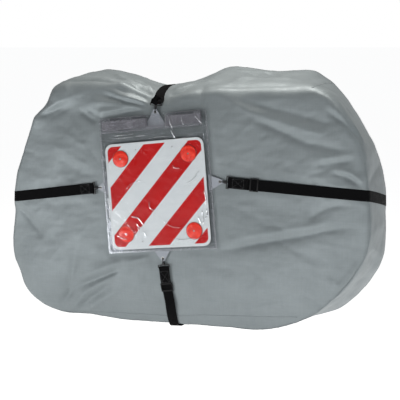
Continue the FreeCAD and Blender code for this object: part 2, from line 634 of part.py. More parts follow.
corner_r = [(V(xr + 4.0, seam_y(Z_RIGHT_FRONT) + 7.0, Z_RIGHT_FRONT), V(0, 0, 1), V(1, -0.3, 0)),
            (V(xr + 3.0, seam_y(Z_RIGHT_FRONT) - 0.2, Z_RIGHT_FRONT), V(0, 0, 1), V(1, -1, 0)),
            (V(xr - 5.0, seam_y(Z_RIGHT_FRONT) - GAP - 0.4, Z_RIGHT_FRONT), V(0, 0, 1), V(0.4, -1, 0))]
seq = st + corner_l + side_l[1:-1] + corner_bl + back + corner_br + side_r[1:-1][::-1] + corner_r

# right: straight webbing under the slider, then over the front to the seam
r_base = lp("right", -14.0, 0, 0)
r_dir = (hook_frames["right"][1] * -1.0)
STRAIGHT_R = 262.0
pR0 = lp("right", -reach, 0, 0)
end_r = V(0, 0, 0)
far = lp("right", -14.0 - STRAIGHT_R, 0, 0)
far = V(far.x, front_y(far.x, far.z) - 7.0, far.z)
slide_r = (far - pR0).normalize()
tail = []
n_seg = 8
c2 = V(xr - 16, 0, Z_RIGHT_FRONT)
for k in range(n_seg, 0, -1):
    t = k / float(n_seg)
    x = far.x + (c2.x - far.x) * t
    z = far.z + (c2.z - far.z) * t
    d = GAP + (7.0 - GAP) * max(0.0, 1 - t * 1.6)
    tail.append((V(x, front_y(x, z) - d, z), V(-0.02, 0, 1.0), front_normal(x, z)))
wr = hook_frames["right"][2]
seq += tail + [(far, wr, SN), (pR0, wr, SN)]
# the width direction keeps one sense round the loop
fixed = []
prev = None
for c, w, n in seq:
    w = V(w)
    if prev is not None and w.dot(prev) < 0:
        w = w * -1.0
    fixed.append((c, w, n))
    prev = w
main = band(fixed)
ends = [loop_end("left", reach), loop_end("right", reach)]
print("strap h", main.isValid(), round(main.Volume / 1000, 1))


def joined(main, extra):
    for e in extra:
        f = main.fuse(e)
        if f.isValid() and len(f.Solids) == 1:
            main = f
        else:
            print("CHECK fuse gave", len(f.Solids), f.isValid())
            main = Part.makeCompound([main, e])
    return main




export("strap_horizontal", joined(main, ends))

# --- vertical strap
st = []
REACH_TOP = 24.0
top0 = lp("top", -REACH_TOP, 0, 0)
st.append((top0, hook_frames["top"][2], SN))
# over the top: front ridge, crown and back edge
sf = station_at(FRONT_OUTLINE, -66.0, 0, TOP_AT, LEFT_AT)
sm = station_at(MIDDLE_OUTLINE, -107.0, 0, TOP_AT, LEFT_AT)
sb = station_at(BACK_OUTLINE, -150.0, 0, TOP_AT, LEFT_AT)
ridge = rib_point(sf, 0.0, 0.0)
wtop = V(1, -0.19, -0.14)
st.append((V(ridge.x, seam_y(ridge.z) - 1.5, ridge.z + 8.0), V(1, 0.0, 0.05), V(0, -0.55, 1)))
for k in range(1, 9):
    t = k / 8.0
    if t < 0.5:
        s = sf + (sm - sf) * (t / 0.5)
    else:
        s = sm + (sb - sm) * ((t - 0.5) / 0.5)
    p = rib_point(s, t, 0.0)
    st.append((V(p.x, p.y, p.z + 8.2), V(1, 0.19, 0.05), V(0, 0, 1)))
pb = st[-1][0]
st[-1] = (V(pb.x, HALF_DEPTH + 9.5, pb.z + 3.6), V(1, 0.1, -0.06), V(0, 1, 1))
BACK_X0, BACK_X1 = -152.0, 58.0
zb0, zb1 = pb.z - 14.0, 16.0
for k in range(0, 29):
    t = k / 28.0
    x = BACK_X0 + (BACK_X1 - BACK_X0) * t
    z = zb0 + (zb1 - zb0) * t
    # lies over the horizontal strap where the two cross
    cross = max(0.0, 1 - abs(z - 581.0) / 90.0)
    st.append((V(x, back_y(x, z) + GAP + 0.6 + 2.4 * cross, z), V(1, 0, 0.2), V(0, 1, 0)))
st.append((V(57.0, HALF_DEPTH + 6.0, 5.0), V(1, 0, 0), V(0, 1, -0.5)))
st.append((V(56.0, HALF_DEPTH + 1.0, -3.0), V(1, 0, 0), V(0, 0.6, -1)))
for y, x in ((200.0, 54.0), (140.0, 50.0), (70.0, 44.0), (0.0, 38.0), (-70.0, 33.0), (-140.0, 28.0), (-200.0, 23.0)):
    st.append((V(x, y, -3.0), V(1, 0, 0), V(0, 0, -1)))
st.append((V(19.0, -HALF_DEPTH + 6.0, -1.2), V(1, 0, 0.0), V(0, -0.25, -1)))
st.append((V(17.5, -HALF_DEPTH - 5.5, 7.0), V(1, 0, 0.05), V(0, -1, -0.8)))
# up the front to the slider and the bottom hook
b0 = lp("bottom", -reach, 0, 0)
STRAIGHT_B = 178.0
farb = lp("bottom", -14.0 - STRAIGHT_B, 0, 0)
farb = V(farb.x, front_y(farb.x, farb.z) - 12.5, farb.z)
slide_b = (farb - b0).normalize()
for z in (30.0, 60.0, 90.0):
    t = (z - 7.0) / (farb.z - 7.0)
    x = 17.5 + (farb.x - 17.5) * t
    d = GAP + 0.9 + 9.0 * t
    st.append((V(x, front_y(x, z) - d, z), V(1, 0, 0.1), front_normal(x, z)))
wb = hook_frames["bottom"][2]
st += [(farb, wb, front_normal(farb.x, farb.z)), (b0, wb, SN)]
fixed = []
prev = None
for c, w, n in st:
    w = V(w)
    if prev is not None and w.dot(prev) < 0:
        w = w * -1.0
    fixed.append((c, w, n))
    prev = w
main = band(fixed)
print("strap v", main.isValid(), round(main.Volume / 1000, 1))
export("strap_vertical", joined(main, [loop_end("top", REACH_TOP), loop_end("bottom", reach)]))


# three-bar sliders that take up the slack
def slider():
    """Local frame: X along the webbing, Y across, Z outwards."""
    rails = [Part.makeBox(40.0, 3.6, 7.0, V(-20.0, 25.6, -3.4)), Part.makeBox(40.0, 3.6, 7.0, V(-20.0, -29.2, -3.4))]
    bars = [Part.makeBox(6.0, 54.0, 2.3, V(-20.0, -27.0, 1.3)), Part.makeBox(6.0, 54.0, 2.3, V(14.0, -27.0, 1.3)),
            Part.makeBox(6.0, 54.0, 2.1, V(-3.0, -27.0, -3.4))]
    return rails[0].fuse([rails[1]] + bars).removeSplitter()


def slider_frame(p0, direction, w, dist):
    z = direction.cross(V(w))
    z.normalize()
    if z.dot(SN) < 0:
        z = z * -1.0
    y = z.cross(direction)
    return p0 + direction * dist, direction, y, z


for name, p0, d, w, dist in (("right", pR0, slide_r, wr, 72.0), ("bottom", b0, slide_b, wb, 48.0)):
    o, x, y, z = slider_frame(p0, d, w, dist)
    export("strap_slider_" + name, placed(slider(), frame_matrix(o, x, y, z)))
    print("slide", name, "centre", [round(c, 2) for c in o], "axis", [round(c, 6) for c in x])
for name, f in hook_frames.items():
    print("hook", name, "origin", [round(c, 3) for c in f[0]], "ax", [round(c, 6) for c in f[1]],
          "w", [round(c, 6) for c in f[2]], "gate pivot", [round(c, 3) for c in lp(name, 15.5, 0, -6.0)])
print("lip hinge", [round(c, 3) for c in sp(0, MOUTH_V, FRONT_SHEET_AT + PVC)])
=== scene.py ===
import bpy, bmesh, math, json
import numpy as np
from mathutils import Vector, Matrix, kdtree
from mathutils.bvhtree import BVHTree
from mathutils.geometry import delaunay_2d_cdt

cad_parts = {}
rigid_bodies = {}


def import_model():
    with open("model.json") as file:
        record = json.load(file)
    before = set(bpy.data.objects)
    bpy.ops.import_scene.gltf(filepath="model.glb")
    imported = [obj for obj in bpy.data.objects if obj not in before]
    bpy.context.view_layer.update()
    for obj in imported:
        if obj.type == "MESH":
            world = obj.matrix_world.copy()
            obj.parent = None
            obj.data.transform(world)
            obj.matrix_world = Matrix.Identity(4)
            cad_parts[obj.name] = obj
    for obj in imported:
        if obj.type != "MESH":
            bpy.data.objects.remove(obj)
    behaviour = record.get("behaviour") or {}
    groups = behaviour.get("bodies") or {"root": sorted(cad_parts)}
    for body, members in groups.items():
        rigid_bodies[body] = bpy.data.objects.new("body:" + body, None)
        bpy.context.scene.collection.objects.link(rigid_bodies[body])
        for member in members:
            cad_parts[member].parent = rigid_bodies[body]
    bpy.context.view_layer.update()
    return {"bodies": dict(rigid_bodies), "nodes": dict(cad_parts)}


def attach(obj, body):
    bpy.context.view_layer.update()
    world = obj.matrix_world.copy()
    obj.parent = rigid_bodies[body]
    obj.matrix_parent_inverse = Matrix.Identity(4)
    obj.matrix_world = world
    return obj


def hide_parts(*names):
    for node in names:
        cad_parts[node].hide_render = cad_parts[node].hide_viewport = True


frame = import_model()
NODES, BODIES = frame["nodes"], frame["bodies"]
SC = bpy.context.scene
MM = 0.001
rng = np.random.RandomState(7)

# =====================================================================
# camera, light, floor
# =====================================================================
AZ, EL = math.radians(20.0), math.radians(10.0)
cam_r = Vector((math.cos(AZ), math.sin(AZ), 0))
cam_b = Vector((math.sin(AZ) * math.cos(EL), -math.cos(AZ) * math.cos(EL), math.sin(EL)))
cam_u = cam_b.cross(cam_r)
cam_data = bpy.data.cameras.new("camera")
cam_data.lens, cam_data.sensor_width = 90.0, 36.0
cam_data.dof.use_dof = False
cam_data.clip_start, cam_data.clip_end = 0.1, 100.0
cam = bpy.data.objects.new("camera", cam_data)
SC.collection.objects.link(cam)
m = Matrix((cam_r, cam_u, cam_b)).transposed().to_4x4()
m.translation = Vector((1.71174, -4.54314, 1.42885))
cam.matrix_world = m
SC.camera = cam

SC.view_settings.view_transform = "Standard"
SC.view_settings.look = "None"

world = bpy.data.worlds.new("studio")
SC.world = world
world.use_nodes = True
wn = world.node_tree.nodes
wl = world.node_tree.links
wn.clear()
w_out = wn.new("ShaderNodeOutputWorld")
w_bg = wn.new("ShaderNodeBackground")
w_bg.inputs["Color"].default_value = (0.97, 0.985, 1.0, 1)
w_bg.inputs["Strength"].default_value = 0.13
w_white = wn.new("ShaderNodeBackground")
w_white.inputs["Color"].default_value = (1, 1, 1, 1)
w_white.inputs["Strength"].default_value = 1.0
w_mix = wn.new("ShaderNodeMixShader")
w_lp = wn.new("ShaderNodeLightPath")
wl.new(w_lp.outputs["Is Camera Ray"], w_mix.inputs[0])
wl.new(w_bg.outputs[0], w_mix.inputs[1])
wl.new(w_white.outputs[0], w_mix.inputs[2])
wl.new(w_mix.outputs[0], w_out.inputs[0])


def area(name, loc, target, size, power, color=(1, 1, 1), size_y=None):
    d = bpy.data.lights.new(name, "AREA")
    d.energy, d.color, d.size = power, color, size
    if size_y:
        d.shape, d.size_y = "RECTANGLE", size_y
    o = bpy.data.objects.new(name, d)
    o.location = loc
    o.rotation_euler = (Vector(target) - Vector(loc)).to_track_quat("-Z", "Y").to_euler()
    SC.collection.objects.link(o)
    return o


area("overhead_softbox", (0.35, 0.25, 3.7), (0.05, 0, 0.9), 1.8, 101, (1.0, 0.965, 0.92), 0.9)
area("side_softbox", (-4.0, -1.4, 1.5), (0, 0, 0.5), 0.9, 3, (1.0, 0.99, 0.975))
area("low_left_softbox", (-1.35, -1.8, 0.22), (-0.4, -0.2, 0.42), 0.5, 8.5, (0.98, 0.99, 1.0), 0.5)
area("low_right_softbox", (0.75, -2.0, 0.15), (0.4, -0.2, 0.4), 0.5, 7, (0.98, 0.99, 1.0), 0.5)
area("strip_right", (3.4, -0.4, 2.1), (0.6, 0, 0.8), 0.6, 11, (0.93, 0.97, 1.0), 1.6)

# =====================================================================
# small numeric helpers
# =====================================================================


def smooth01(t):
    t = np.clip(t, 0, 1)
    return t * t * (3 - 2 * t)


def waves(P, wavelength, seed, n=18):
    """Smooth random field: a sum of sine waves about one wavelength, with seeded directions."""
    r = np.random.RandomState(seed)
    k = unit(r.normal(size=(n, P.shape[1])))
    k *= (2 * np.pi / (wavelength * r.uniform(0.7, 1.45, n)))[:, None]
    ph = r.uniform(0, 2 * np.pi, n)
    return np.sin(P @ k.T + ph).sum(1) / math.sqrt(n / 2.0)


def unit(v):
    v = np.asarray(v, float)
    return v / np.maximum(np.linalg.norm(v, axis=-1, keepdims=True), 1e-12)


def mesh_piece(name, verts_mm, faces, body="cover", mat=None, uv=None, smooth=True, normals=None):
    """Mesh object from points in millimetres. uv is one pair per vertex, in metres of cloth."""
    me = bpy.data.meshes.new(name)
    me.from_pydata((np.asarray(verts_mm, float) * MM).tolist(), [], [list(map(int, f)) for f in faces])
    me.update()
    if smooth:
        me.polygons.foreach_set("use_smooth", [True] * len(me.polygons))
    if uv is not None:
        lay = me.uv_layers.new(name="cloth")
        idx = np.empty(len(me.loops), int)
        me.loops.foreach_get("vertex_index", idx)
        lay.data.foreach_set("uv", np.asarray(uv, float)[idx].ravel())
    if normals is not None:
        me.normals_split_custom_set_from_vertices(unit(normals).tolist())
    o = bpy.data.objects.new(name, me)
    SC.collection.objects.link(o)
    if mat is not None:
        me.materials.append(mat)
    if body:
        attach(o, body)
    return o


# =====================================================================
# materials
# =====================================================================


class Nodes:
    """Short hand for building a node tree."""

    def __init__(self, name):
        self.mat = bpy.data.materials.new(name)
        self.mat.use_nodes = True
        self.nt = self.mat.node_tree
        self.nt.nodes.clear()
        self.out = self.nt.nodes.new("ShaderNodeOutputMaterial")
        self.bsdf = self.nt.nodes.new("ShaderNodeBsdfPrincipled")
        self.link(self.bsdf.outputs[0], self.out.inputs[0])
        self.tc = self.nt.nodes.new("ShaderNodeTexCoord")

    def node(self, kind, **kw):
        n = self.nt.nodes.new(kind)
        for k, v in kw.items():
            setattr(n, k, v)
        return n

    def link(self, a, b):
        self.nt.links.new(a, b)

    def set(self, **kw):
        for k, v in kw.items():
            self.bsdf.inputs[k.replace("_", " ")].default_value = v

    def mapping(self, src="Object", scale=(1, 1, 1), rot=(0, 0, 0), loc=(0, 0, 0)):
        n = self.node("ShaderNodeMapping")
        n.inputs["Scale"].default_value = scale
        n.inputs["Rotation"].default_value = rot
        n.inputs["Location"].default_value = loc
        self.link(self.tc.outputs[src], n.inputs["Vector"])
        return n.outputs[0]

    def noise(self, vec, scale, detail=2.0, rough=0.5, distortion=0.0):
        n = self.node("ShaderNodeTexNoise")
        n.inputs["Scale"].default_value = scale
        n.inputs["Detail"].default_value = detail
        n.inputs["Roughness"].default_value = rough
        n.inputs["Distortion"].default_value = distortion
        self.link(vec, n.inputs["Vector"])
        return n.outputs["Fac"]

    def wave(self, vec, scale, direction="X", distortion=0.0, profile="SIN", detail=0.0, dscale=1.0):
        n = self.node("ShaderNodeTexWave", wave_type="BANDS", bands_direction=direction, wave_profile=profile)
        n.inputs["Scale"].default_value = scale
        n.inputs["Distortion"].default_value = distortion
        n.inputs["Detail"].default_value = detail
        n.inputs["Detail Scale"].default_value = dscale
        self.link(vec, n.inputs["Vector"])
        return n.outputs["Fac"]

    def voronoi(self, vec, scale, feature="F1", out="Distance", randomness=1.0):
        n = self.node("ShaderNodeTexVoronoi", feature=feature)
        n.inputs["Scale"].default_value = scale
        n.inputs["Randomness"].default_value = randomness
        self.link(vec, n.inputs["Vector"])
        return n.outputs[out]

    def math(self, op, a, b=None, clamp=False):
        n = self.node("ShaderNodeMath", operation=op, use_clamp=clamp)
        for i, v in enumerate((a, b)):
            if v is None:
                continue
            if isinstance(v, (int, float)):
                n.inputs[i].default_value = v
            else:
                self.link(v, n.inputs[i])
        return n.outputs[0]

    def ramp(self, fac, stops):
        n = self.node("ShaderNodeValToRGB")
        cr = n.color_ramp
        while len(cr.elements) < len(stops):
            cr.elements.new(0.5)
        for e, (p, c) in zip(cr.elements, stops):
            e.position = p
            e.color = (c, c, c, 1) if isinstance(c, (int, float)) else tuple(c) + (1,)
        self.link(fac, n.inputs[0])
        return n.outputs[0]

    def rng_map(self, v, a0, a1, b0, b1):
        n = self.node("ShaderNodeMapRange")
        n.inputs["From Min"].default_value = a0
        n.inputs["From Max"].default_value = a1
        n.inputs["To Min"].default_value = b0
        n.inputs["To Max"].default_value = b1
        self.link(v, n.inputs["Value"])
        return n.outputs[0]

    def mix(self, fac, a, b, blend="MIX"):
        n = self.node("ShaderNodeMix", data_type="RGBA", blend_type=blend)
        for s, v in ((n.inputs[0], fac), (n.inputs[6], a), (n.inputs[7], b)):
            if isinstance(v, (int, float)):
                s.default_value = v
            elif isinstance(v, tuple):
                s.default_value = v + (1,) if len(v) == 3 else v
            else:
                self.link(v, s)
        return n.outputs[2]

    def bump(self, height, distance, strength=1.0, prev=None):
        n = self.node("ShaderNodeBump")
        n.inputs["Distance"].default_value = distance
        n.inputs["Strength"].default_value = strength
        self.link(height, n.inputs["Height"])
        if prev is not None:
            self.link(prev, n.inputs["Normal"])
        return n.outputs[0]

    def base(self, c):
        self.link(c, self.bsdf.inputs["Base Color"])

    def normal(self, n):
        self.link(n, self.bsdf.inputs["Normal"])

    def rough(self, r):
        self.link(r, self.bsdf.inputs["Roughness"])


def cover_cloth(name, light, dark, metal=0.36, crumple=1.0):
    """Silver coated plain-weave polyester."""
    n = Nodes(name)
    obj = n.mapping("Object")
    uv = n.mapping("UV")
    big = n.noise(obj, 2.6, 3.0, 0.55, 0.4)
    small = n.noise(obj, 26.0, 4.0, 0.6)
    slub_a = n.noise(n.mapping("UV", (26, 420, 1)), 1.0, 2.0, 0.6)
    slub_b = n.noise(n.mapping("UV", (420, 26, 1)), 1.0, 2.0, 0.6)
    slub_c = n.noise(n.mapping("UV", (7, 150, 1)), 1.0, 3.0, 0.65)
    slub_d = n.noise(n.mapping("UV", (150, 9, 1)), 1.0, 3.0, 0.65)
    tone = n.math("ADD", n.math("MULTIPLY", big, 0.42), n.math("MULTIPLY", small, 0.14))
    tone = n.math("ADD", tone, n.math("MULTIPLY", n.math("ADD", slub_a, slub_b), 0.11))
    tone = n.math("ADD", tone, n.math("MULTIPLY", n.math("ADD", slub_c, slub_d), 0.17))
    n.base(n.ramp(tone, [(0.40, dark), (0.70, light)]))
    warp = n.wave(uv, 625.0, "X")
    weft = n.wave(uv, 625.0, "Y")
    weave = n.math("MAXIMUM", warp, n.math("MULTIPLY", weft, 0.92))
    nb = n.bump(weave, 0.00018, 0.35)
    nb = n.bump(n.math("ADD", slub_a, slub_b), 0.00025, 0.4, nb)
    nb = n.bump(n.math("ADD", slub_c, slub_d), 0.0006, 0.4, nb)
    fine = n.noise(obj, 34.0, 3.0, 0.5, 0.8)
    nb = n.bump(fine, 0.0007 * crumple, 0.45, nb)
    soft = n.noise(obj, 12.0, 2.0, 0.5, 0.6)
    nb = n.bump(soft, 0.0015 * crumple, 0.35, nb)
    n.normal(nb)
    n.rough(n.rng_map(n.noise(obj, 14.0, 3.0, 0.6), 0.3, 0.7, 0.50, 0.60))
    n.set(Metallic=metal, Sheen_Weight=0.05, Sheen_Roughness=0.5)
    return n.mat


M_COVER = cover_cloth("cover_silver_cloth", (0.268, 0.302, 0.314), (0.208, 0.238, 0.247))
M_SIDE = cover_cloth("cover_side_cloth", (0.262, 0.296, 0.308), (0.203, 0.233, 0.242))


def webbing_mat(name, light, dark):
    n = Nodes(name)
    # u runs along the strap, v across it
    ribs = n.wave(n.mapping("UV"), 1.0 / 0.0019 / 6.2832, "X", 0.0)
    uvv = n.mapping("UV", (1, 1, 1))
    sep = n.node("ShaderNodeSeparateXYZ")
    n.link(uvv, sep.inputs[0])
    # chevron threads: the diagonal turns over every 6 mm across the width
    zig = n.math("PINGPONG", n.math("ADD", sep.outputs[1], 1.0), 0.0031)
    ph = n.math("MULTIPLY", n.math("ADD", sep.outputs[0], n.math("MULTIPLY", zig, 0.9)), 6.2832 / 0.0016)
    thread = n.math("SINE", ph)
    cross = n.math("SINE", n.math("MULTIPLY", sep.outputs[1], 6.2832 / 0.00155))
    h = n.math("ADD", n.math("MULTIPLY", thread, 0.5), n.math("MULTIPLY", cross, 0.35))
    fuzz = n.noise(n.mapping("Object"), 900.0, 3.0, 0.7)
    tone = n.noise(n.mapping("Object"), 30.0, 3.0, 0.6)
    c = n.math("ADD", n.math("MULTIPLY", h, 0.16), n.math("ADD", n.math("MULTIPLY", fuzz, 0.3), n.math("MULTIPLY", tone, 0.5)))
    n.base(n.ramp(c, [(0.15, dark), (0.75, light)]))
    nb = n.bump(h, 0.00028, 0.9)
    nb = n.bump(ribs, 0.0001, 0.3, nb)
    n.normal(nb)
    n.rough(n.rng_map(tone, 0.3, 0.7, 0.62, 0.80))
    n.set(Sheen_Weight=0.0, Specular_IOR_Level=0.06)
    return n.mat


M_WEB = webbing_mat("black_webbing", (0.0050, 0.0050, 0.0056), (0.0014, 0.0014, 0.0017))
M_BIND = webbing_mat("grey_binding_tape", (0.16, 0.175, 0.18), (0.10, 0.11, 0.115))


def thread_mat(name, light, dark):
    n = Nodes(name)
    tw = n.wave(n.mapping("Object", (1, 1, 1), (0.4, 0.5, 0.3)), 420.0, "DIAGONAL", 0.6)
    n.base(n.ramp(tw, [(0.2, dark), (0.8, light)]))
    n.normal(n.bump(tw, 0.0002, 0.6))
    n.set(Roughness=0.55, Sheen_Weight=0.2)
    return n.mat


M_THREAD = thread_mat("grey_thread", (0.25, 0.275, 0.28), (0.16, 0.18, 0.185))
M_THREAD_B = thread_mat("black_thread", (0.11, 0.11, 0.115), (0.05, 0.05, 0.055))


def plastic_mat(name, light, dark, rough=(0.32, 0.48), spec=0.5):
    n = Nodes(name)
    obj = n.mapping("Object")
    grain = n.voronoi(obj, 900.0)
    tone = n.noise(obj, 60.0, 4.0, 0.6)
    n.base(n.ramp(tone, [(0.3, dark), (0.7, light)]))
    nb = n.bump(grain, 0.00012, 0.35)
    n.normal(n.bump(n.noise(obj, 120.0, 2.0), 0.0003, 0.3, nb))
    n.rough(n.rng_map(tone, 0.3, 0.7, rough[0], rough[1]))
    n.set(Coat_Weight=0.08, Coat_Roughness=0.35, Specular_IOR_Level=spec)
    return n.mat


M_HOOK = plastic_mat("black_acetal", (0.012, 0.012, 0.013), (0.005, 0.005, 0.0055))
M_SLIDER = plastic_mat("black_slider_plastic", (0.007, 0.007, 0.0075), (0.003, 0.003, 0.0035), (0.45, 0.6), 0.22)


def metal_mat(name, light, dark, rough=(0.22, 0.4), scale=300.0):
    n = Nodes(name)
    obj = n.mapping("Object")
    tone = n.noise(obj, scale, 3.0, 0.6)
    scr = n.noise(n.mapping("Object", (scale * 4, 12, 12)), 1.0, 2.0, 0.5)
    n.base(n.ramp(tone, [(0.3, dark), (0.7, light)]))
    n.rough(n.rng_map(scr, 0.3, 0.7, rough[0], rough[1]))
    n.normal(n.bump(scr, 0.00004, 0.4))
    n.set(Metallic=1.0)
    return n.mat


M_STEEL = metal_mat("zinc_plated_steel", (0.66, 0.66, 0.64), (0.48, 0.49, 0.50))
M_SPRING = metal_mat("spring_steel", (0.50, 0.50, 0.52), (0.34, 0.35, 0.37))
M_EYELET = metal_mat("nickel_eyelet", (0.80, 0.79, 0.76), (0.62, 0.61, 0.58), (0.15, 0.28))
M_ALU = metal_mat("sign_aluminium", (0.72, 0.73, 0.74), (0.60, 0.61, 0.62), (0.34, 0.5), 90.0)


def elastic_mat():
    n = Nodes("ribbed_elastic")
    obj = n.mapping("Object")
    r = n.wave(obj, 210.0, "Z", 0.2)
    c = n.wave(obj, 160.0, "X", 0.6)
    n.base(n.ramp(n.math("MULTIPLY", r, c), [(0.0, (0.10, 0.10, 0.10)), (0.6, (0.23, 0.23, 0.22))]))
    n.normal(n.bump(r, 0.0004, 0.7))
    n.set(Roughness=0.75, Sheen_Weight=0.3)
    return n.mat


M_ELASTIC = elastic_mat()


def sheeting_mat(name, light, dark, cell_dark, rough=0.3):
    """Retroreflective sheeting: fine sealed cells under a clear face."""
    n = Nodes(name)
    obj = n.mapping("Object")
    cells = n.voronoi(obj, 260.0, "DISTANCE_TO_EDGE", "Distance", 0.12)
    lines = n.ramp(cells, [(0.02, 1.0), (0.07, 0.0)])
    tone = n.noise(obj, 7.0, 3.0, 0.5)
    c = n.ramp(tone, [(0.3, dark), (0.7, light)])
    n.base(n.mix(n.math("MULTIPLY", lines, 0.35), c, cell_dark))
    n.normal(n.bump(cells, 0.00006, 0.3))
    n.rough(n.rng_map(n.noise(obj, 40.0, 3.0), 0.3, 0.7, rough - 0.05, rough + 0.1))
    n.set(Coat_Weight=0.08, Coat_Roughness=0.12, Specular_IOR_Level=0.16)
    return n.mat


M_WHITE = sheeting_mat("white_retroreflective_film", (0.73, 0.77, 0.79), (0.67, 0.715, 0.74), (0.56, 0.61, 0.64))
M_RED = sheeting_mat("red_retroreflective_film", (0.58, 0.010, 0.010), (0.47, 0.006, 0.007), (0.38, 0.006, 0.007))


def lens_mat():
    n = Nodes("red_reflector_lens_painted_reflection_glow")
    obj = n.mapping("Object")
    facet = n.voronoi(obj, 240.0, "F1", "Distance", 0.1)
    tone = n.noise(obj, 70.0, 4.0, 0.7)
    # colour runs from deep red to a light orange-pink by facet and noise: the light orange-pink stands in for
    # reflections off the prisms, a painted reflection
    c = n.math("ADD", n.math("MULTIPLY", facet, 0.9), n.math("MULTIPLY", tone, 0.6))
    n.base(n.ramp(c, [(0.35, (0.46, 0.006, 0.005)), (0.62, (0.68, 0.010, 0.007)), (0.92, (0.97, 0.085, 0.050))]))
    n.normal(n.bump(facet, 0.0006, 0.5))
    # the faint red emission is a painted glow: the lens is no lamp
    n.set(Roughness=0.18, Coat_Weight=0.2, Coat_Roughness=0.05, Specular_IOR_Level=0.25, Emission_Color=(1.0, 0.04, 0.02, 1), Emission_Strength=0.05)
    return n.mat


M_LENS = lens_mat()
M_RBASE = plastic_mat("red_reflector_base", (0.30, 0.014, 0.012), (0.20, 0.010, 0.009), (0.25, 0.4))


# the last argument is the whitish colour of the painted glints
def film_mat(name, tint, alpha, rough=0.08, ripple=1.0, edge=0.05, metal=1.0, glint_paint_color=(0.8, 0.82, 0.85)):
    """Clear flexible PVC: see-through, with a faint veil, sharp shine, and painted glints (whitish, more opaque) where
    "lie" is above 0.
    """
    n = Nodes(name)
    obj = n.mapping("Object")
    haze = n.noise(obj, 9.0, 4.0, 0.6, 1.2)
    streak = n.noise(n.mapping("Object", (34, 34, 7), (0.2, 0.3, 0.5)), 1.0, 3.0, 0.6, 1.5)
    a = n.rng_map(n.math("ADD", n.math("MULTIPLY", haze, 0.6), n.math("MULTIPLY", streak, 0.4)), 0.32, 0.72, alpha[0], alpha[1])
    lw = n.node("ShaderNodeLayerWeight")
    lw.inputs["Blend"].default_value = 0.25
    a = n.math("ADD", a, n.math("MULTIPLY", lw.outputs["Facing"], edge), True)
    at = n.node("ShaderNodeAttribute", attribute_name="lie")
    # painted glints: where "lie" is above 0 a whitish colour is mixed in and the film is made more opaque
    white = n.math("MAXIMUM", at.outputs["Fac"], 0.0)
    clear = n.math("MAXIMUM", n.math("MULTIPLY", at.outputs["Fac"], -1.0), 0.0)
    a = n.math("MULTIPLY", a, n.math("SUBTRACT", 1.0, clear))
    a = n.math("ADD", a, n.math("MULTIPLY", white, 0.62), True)
    n.link(a, n.bsdf.inputs["Alpha"])
    n.base(n.mix(white, n.ramp(haze, [(0.3, tuple(x * 0.93 for x in tint)), (0.7, tint)]), glint_paint_color))
    nb = n.bump(n.noise(obj, 24.0, 2.0, 0.5, 1.5), 0.003 * ripple, 0.5)
    nb = n.bump(n.noise(obj, 70.0, 2.0, 0.5, 1.0), 0.0010 * ripple, 0.4, nb)
    n.normal(nb)
    n.set(Metallic=metal, Roughness=rough)
    return n.mat


M_FILM = film_mat("clear_pvc", (0.62, 0.63, 0.66), (0.006, 0.022))
M_FILM_BACK = film_mat("clear_pvc_back", (0.30, 0.31, 0.35), (0.08, 0.17), 0.16)
M_FILM_LIP = film_mat("clear_pvc_lip", (0.33, 0.33, 0.37), (0.10, 0.24), 0.10, 1.2, 0.06, 0.6)
M_WELD = film_mat("welded_pvc_edge", (0.52, 0.54, 0.58), (0.10, 0.30), 0.20, 0.6, 0.0, 0.7)
M_TAB = film_mat("milky_pvc_tab", (0.40, 0.43, 0.48), (0.76, 0.92), 0.45, 0.5, 0.0, 0.0)
M_ZIP = film_mat("press_closure", (0.22, 0.22, 0.25), (0.30, 0.46), 0.22, 0.4, 0.0, 0.3)


def tape_mat():
    """Grey press closure, ribbed across."""
    n = Nodes("ribbed_closure_tape")
    obj = n.mapping("Object")
    rib = n.wave(obj, 62.0, "X", 2.2, "SIN", 2.0, 1.6)
    tone = n.noise(obj, 22.0, 4.0, 0.6)
    c = n.math("ADD", n.math("MULTIPLY", rib, 0.35), n.math("MULTIPLY", tone, 0.8))
    n.base(n.ramp(c, [(0.25, (0.165, 0.165, 0.19)), (0.8, (0.26, 0.26, 0.29))]))
    n.rough(n.rng_map(tone, 0.3, 0.7, 0.34, 0.5))
    n.normal(n.bump(rib, 0.0012, 0.8))
    return n.mat


M_TAPE = tape_mat()

# =====================================================================
# cover: outlines and surfaces, in millimetres
# =====================================================================
FRONT_OUTLINE = [
    (-607.9, 12.7), (-526.4, 8.0), (-444.6, 12.6), (-362.9, 12.0), (-281.2, 5.8), (-199.5, 5.2),
    (-117.7, 9.8), (-36.0, 14.6), (45.8, 16.6), (127.5, 20.8), (209.3, 23.4), (291.1, 25.2),
    (372.9, 26.6), (454.4, 33.4), (533.5, 54.4), (610.0, 83.4), (699.8, 132.2), (780.6, 195.0),
    (849.9, 270.2), (904.5, 356.7), (936.4, 453.6), (940.4, 555.8), (934.6, 658.0), (926.5, 760.1),
    (915.5, 861.9), (878.9, 956.6), (821.7, 1041.5), (755.2, 1119.3), (663.3, 1157.3), (596.1, 1158.6),
    (528.9, 1157.6), (461.7, 1155.8), (394.5, 1154.8), (327.2, 1152.8), (260.1, 1149.1), (193.7, 1138.8),
    (127.5, 1127.0), (61.6, 1113.5), (-3.7, 1097.7), (-69.5, 1083.8), (-133.3, 1094.8), (-192.7, 1126.4),
    (-253.1, 1155.7), (-318.8, 1168.8), (-386.0, 1168.7), (-453.2, 1165.9), (-520.4, 1165.6), (-581.2, 1141.2),
    (-648.4, 1066.6), (-710.0, 987.1), (-754.0, 896.9), (-784.8, 801.2), (-814.5, 705.1), (-837.1, 607.2),
    (-838.9, 506.7), (-847.5, 406.5), (-847.6, 306.1), (-819.2, 209.9), (-772.6, 121.1), (-699.2, 53.1),
]
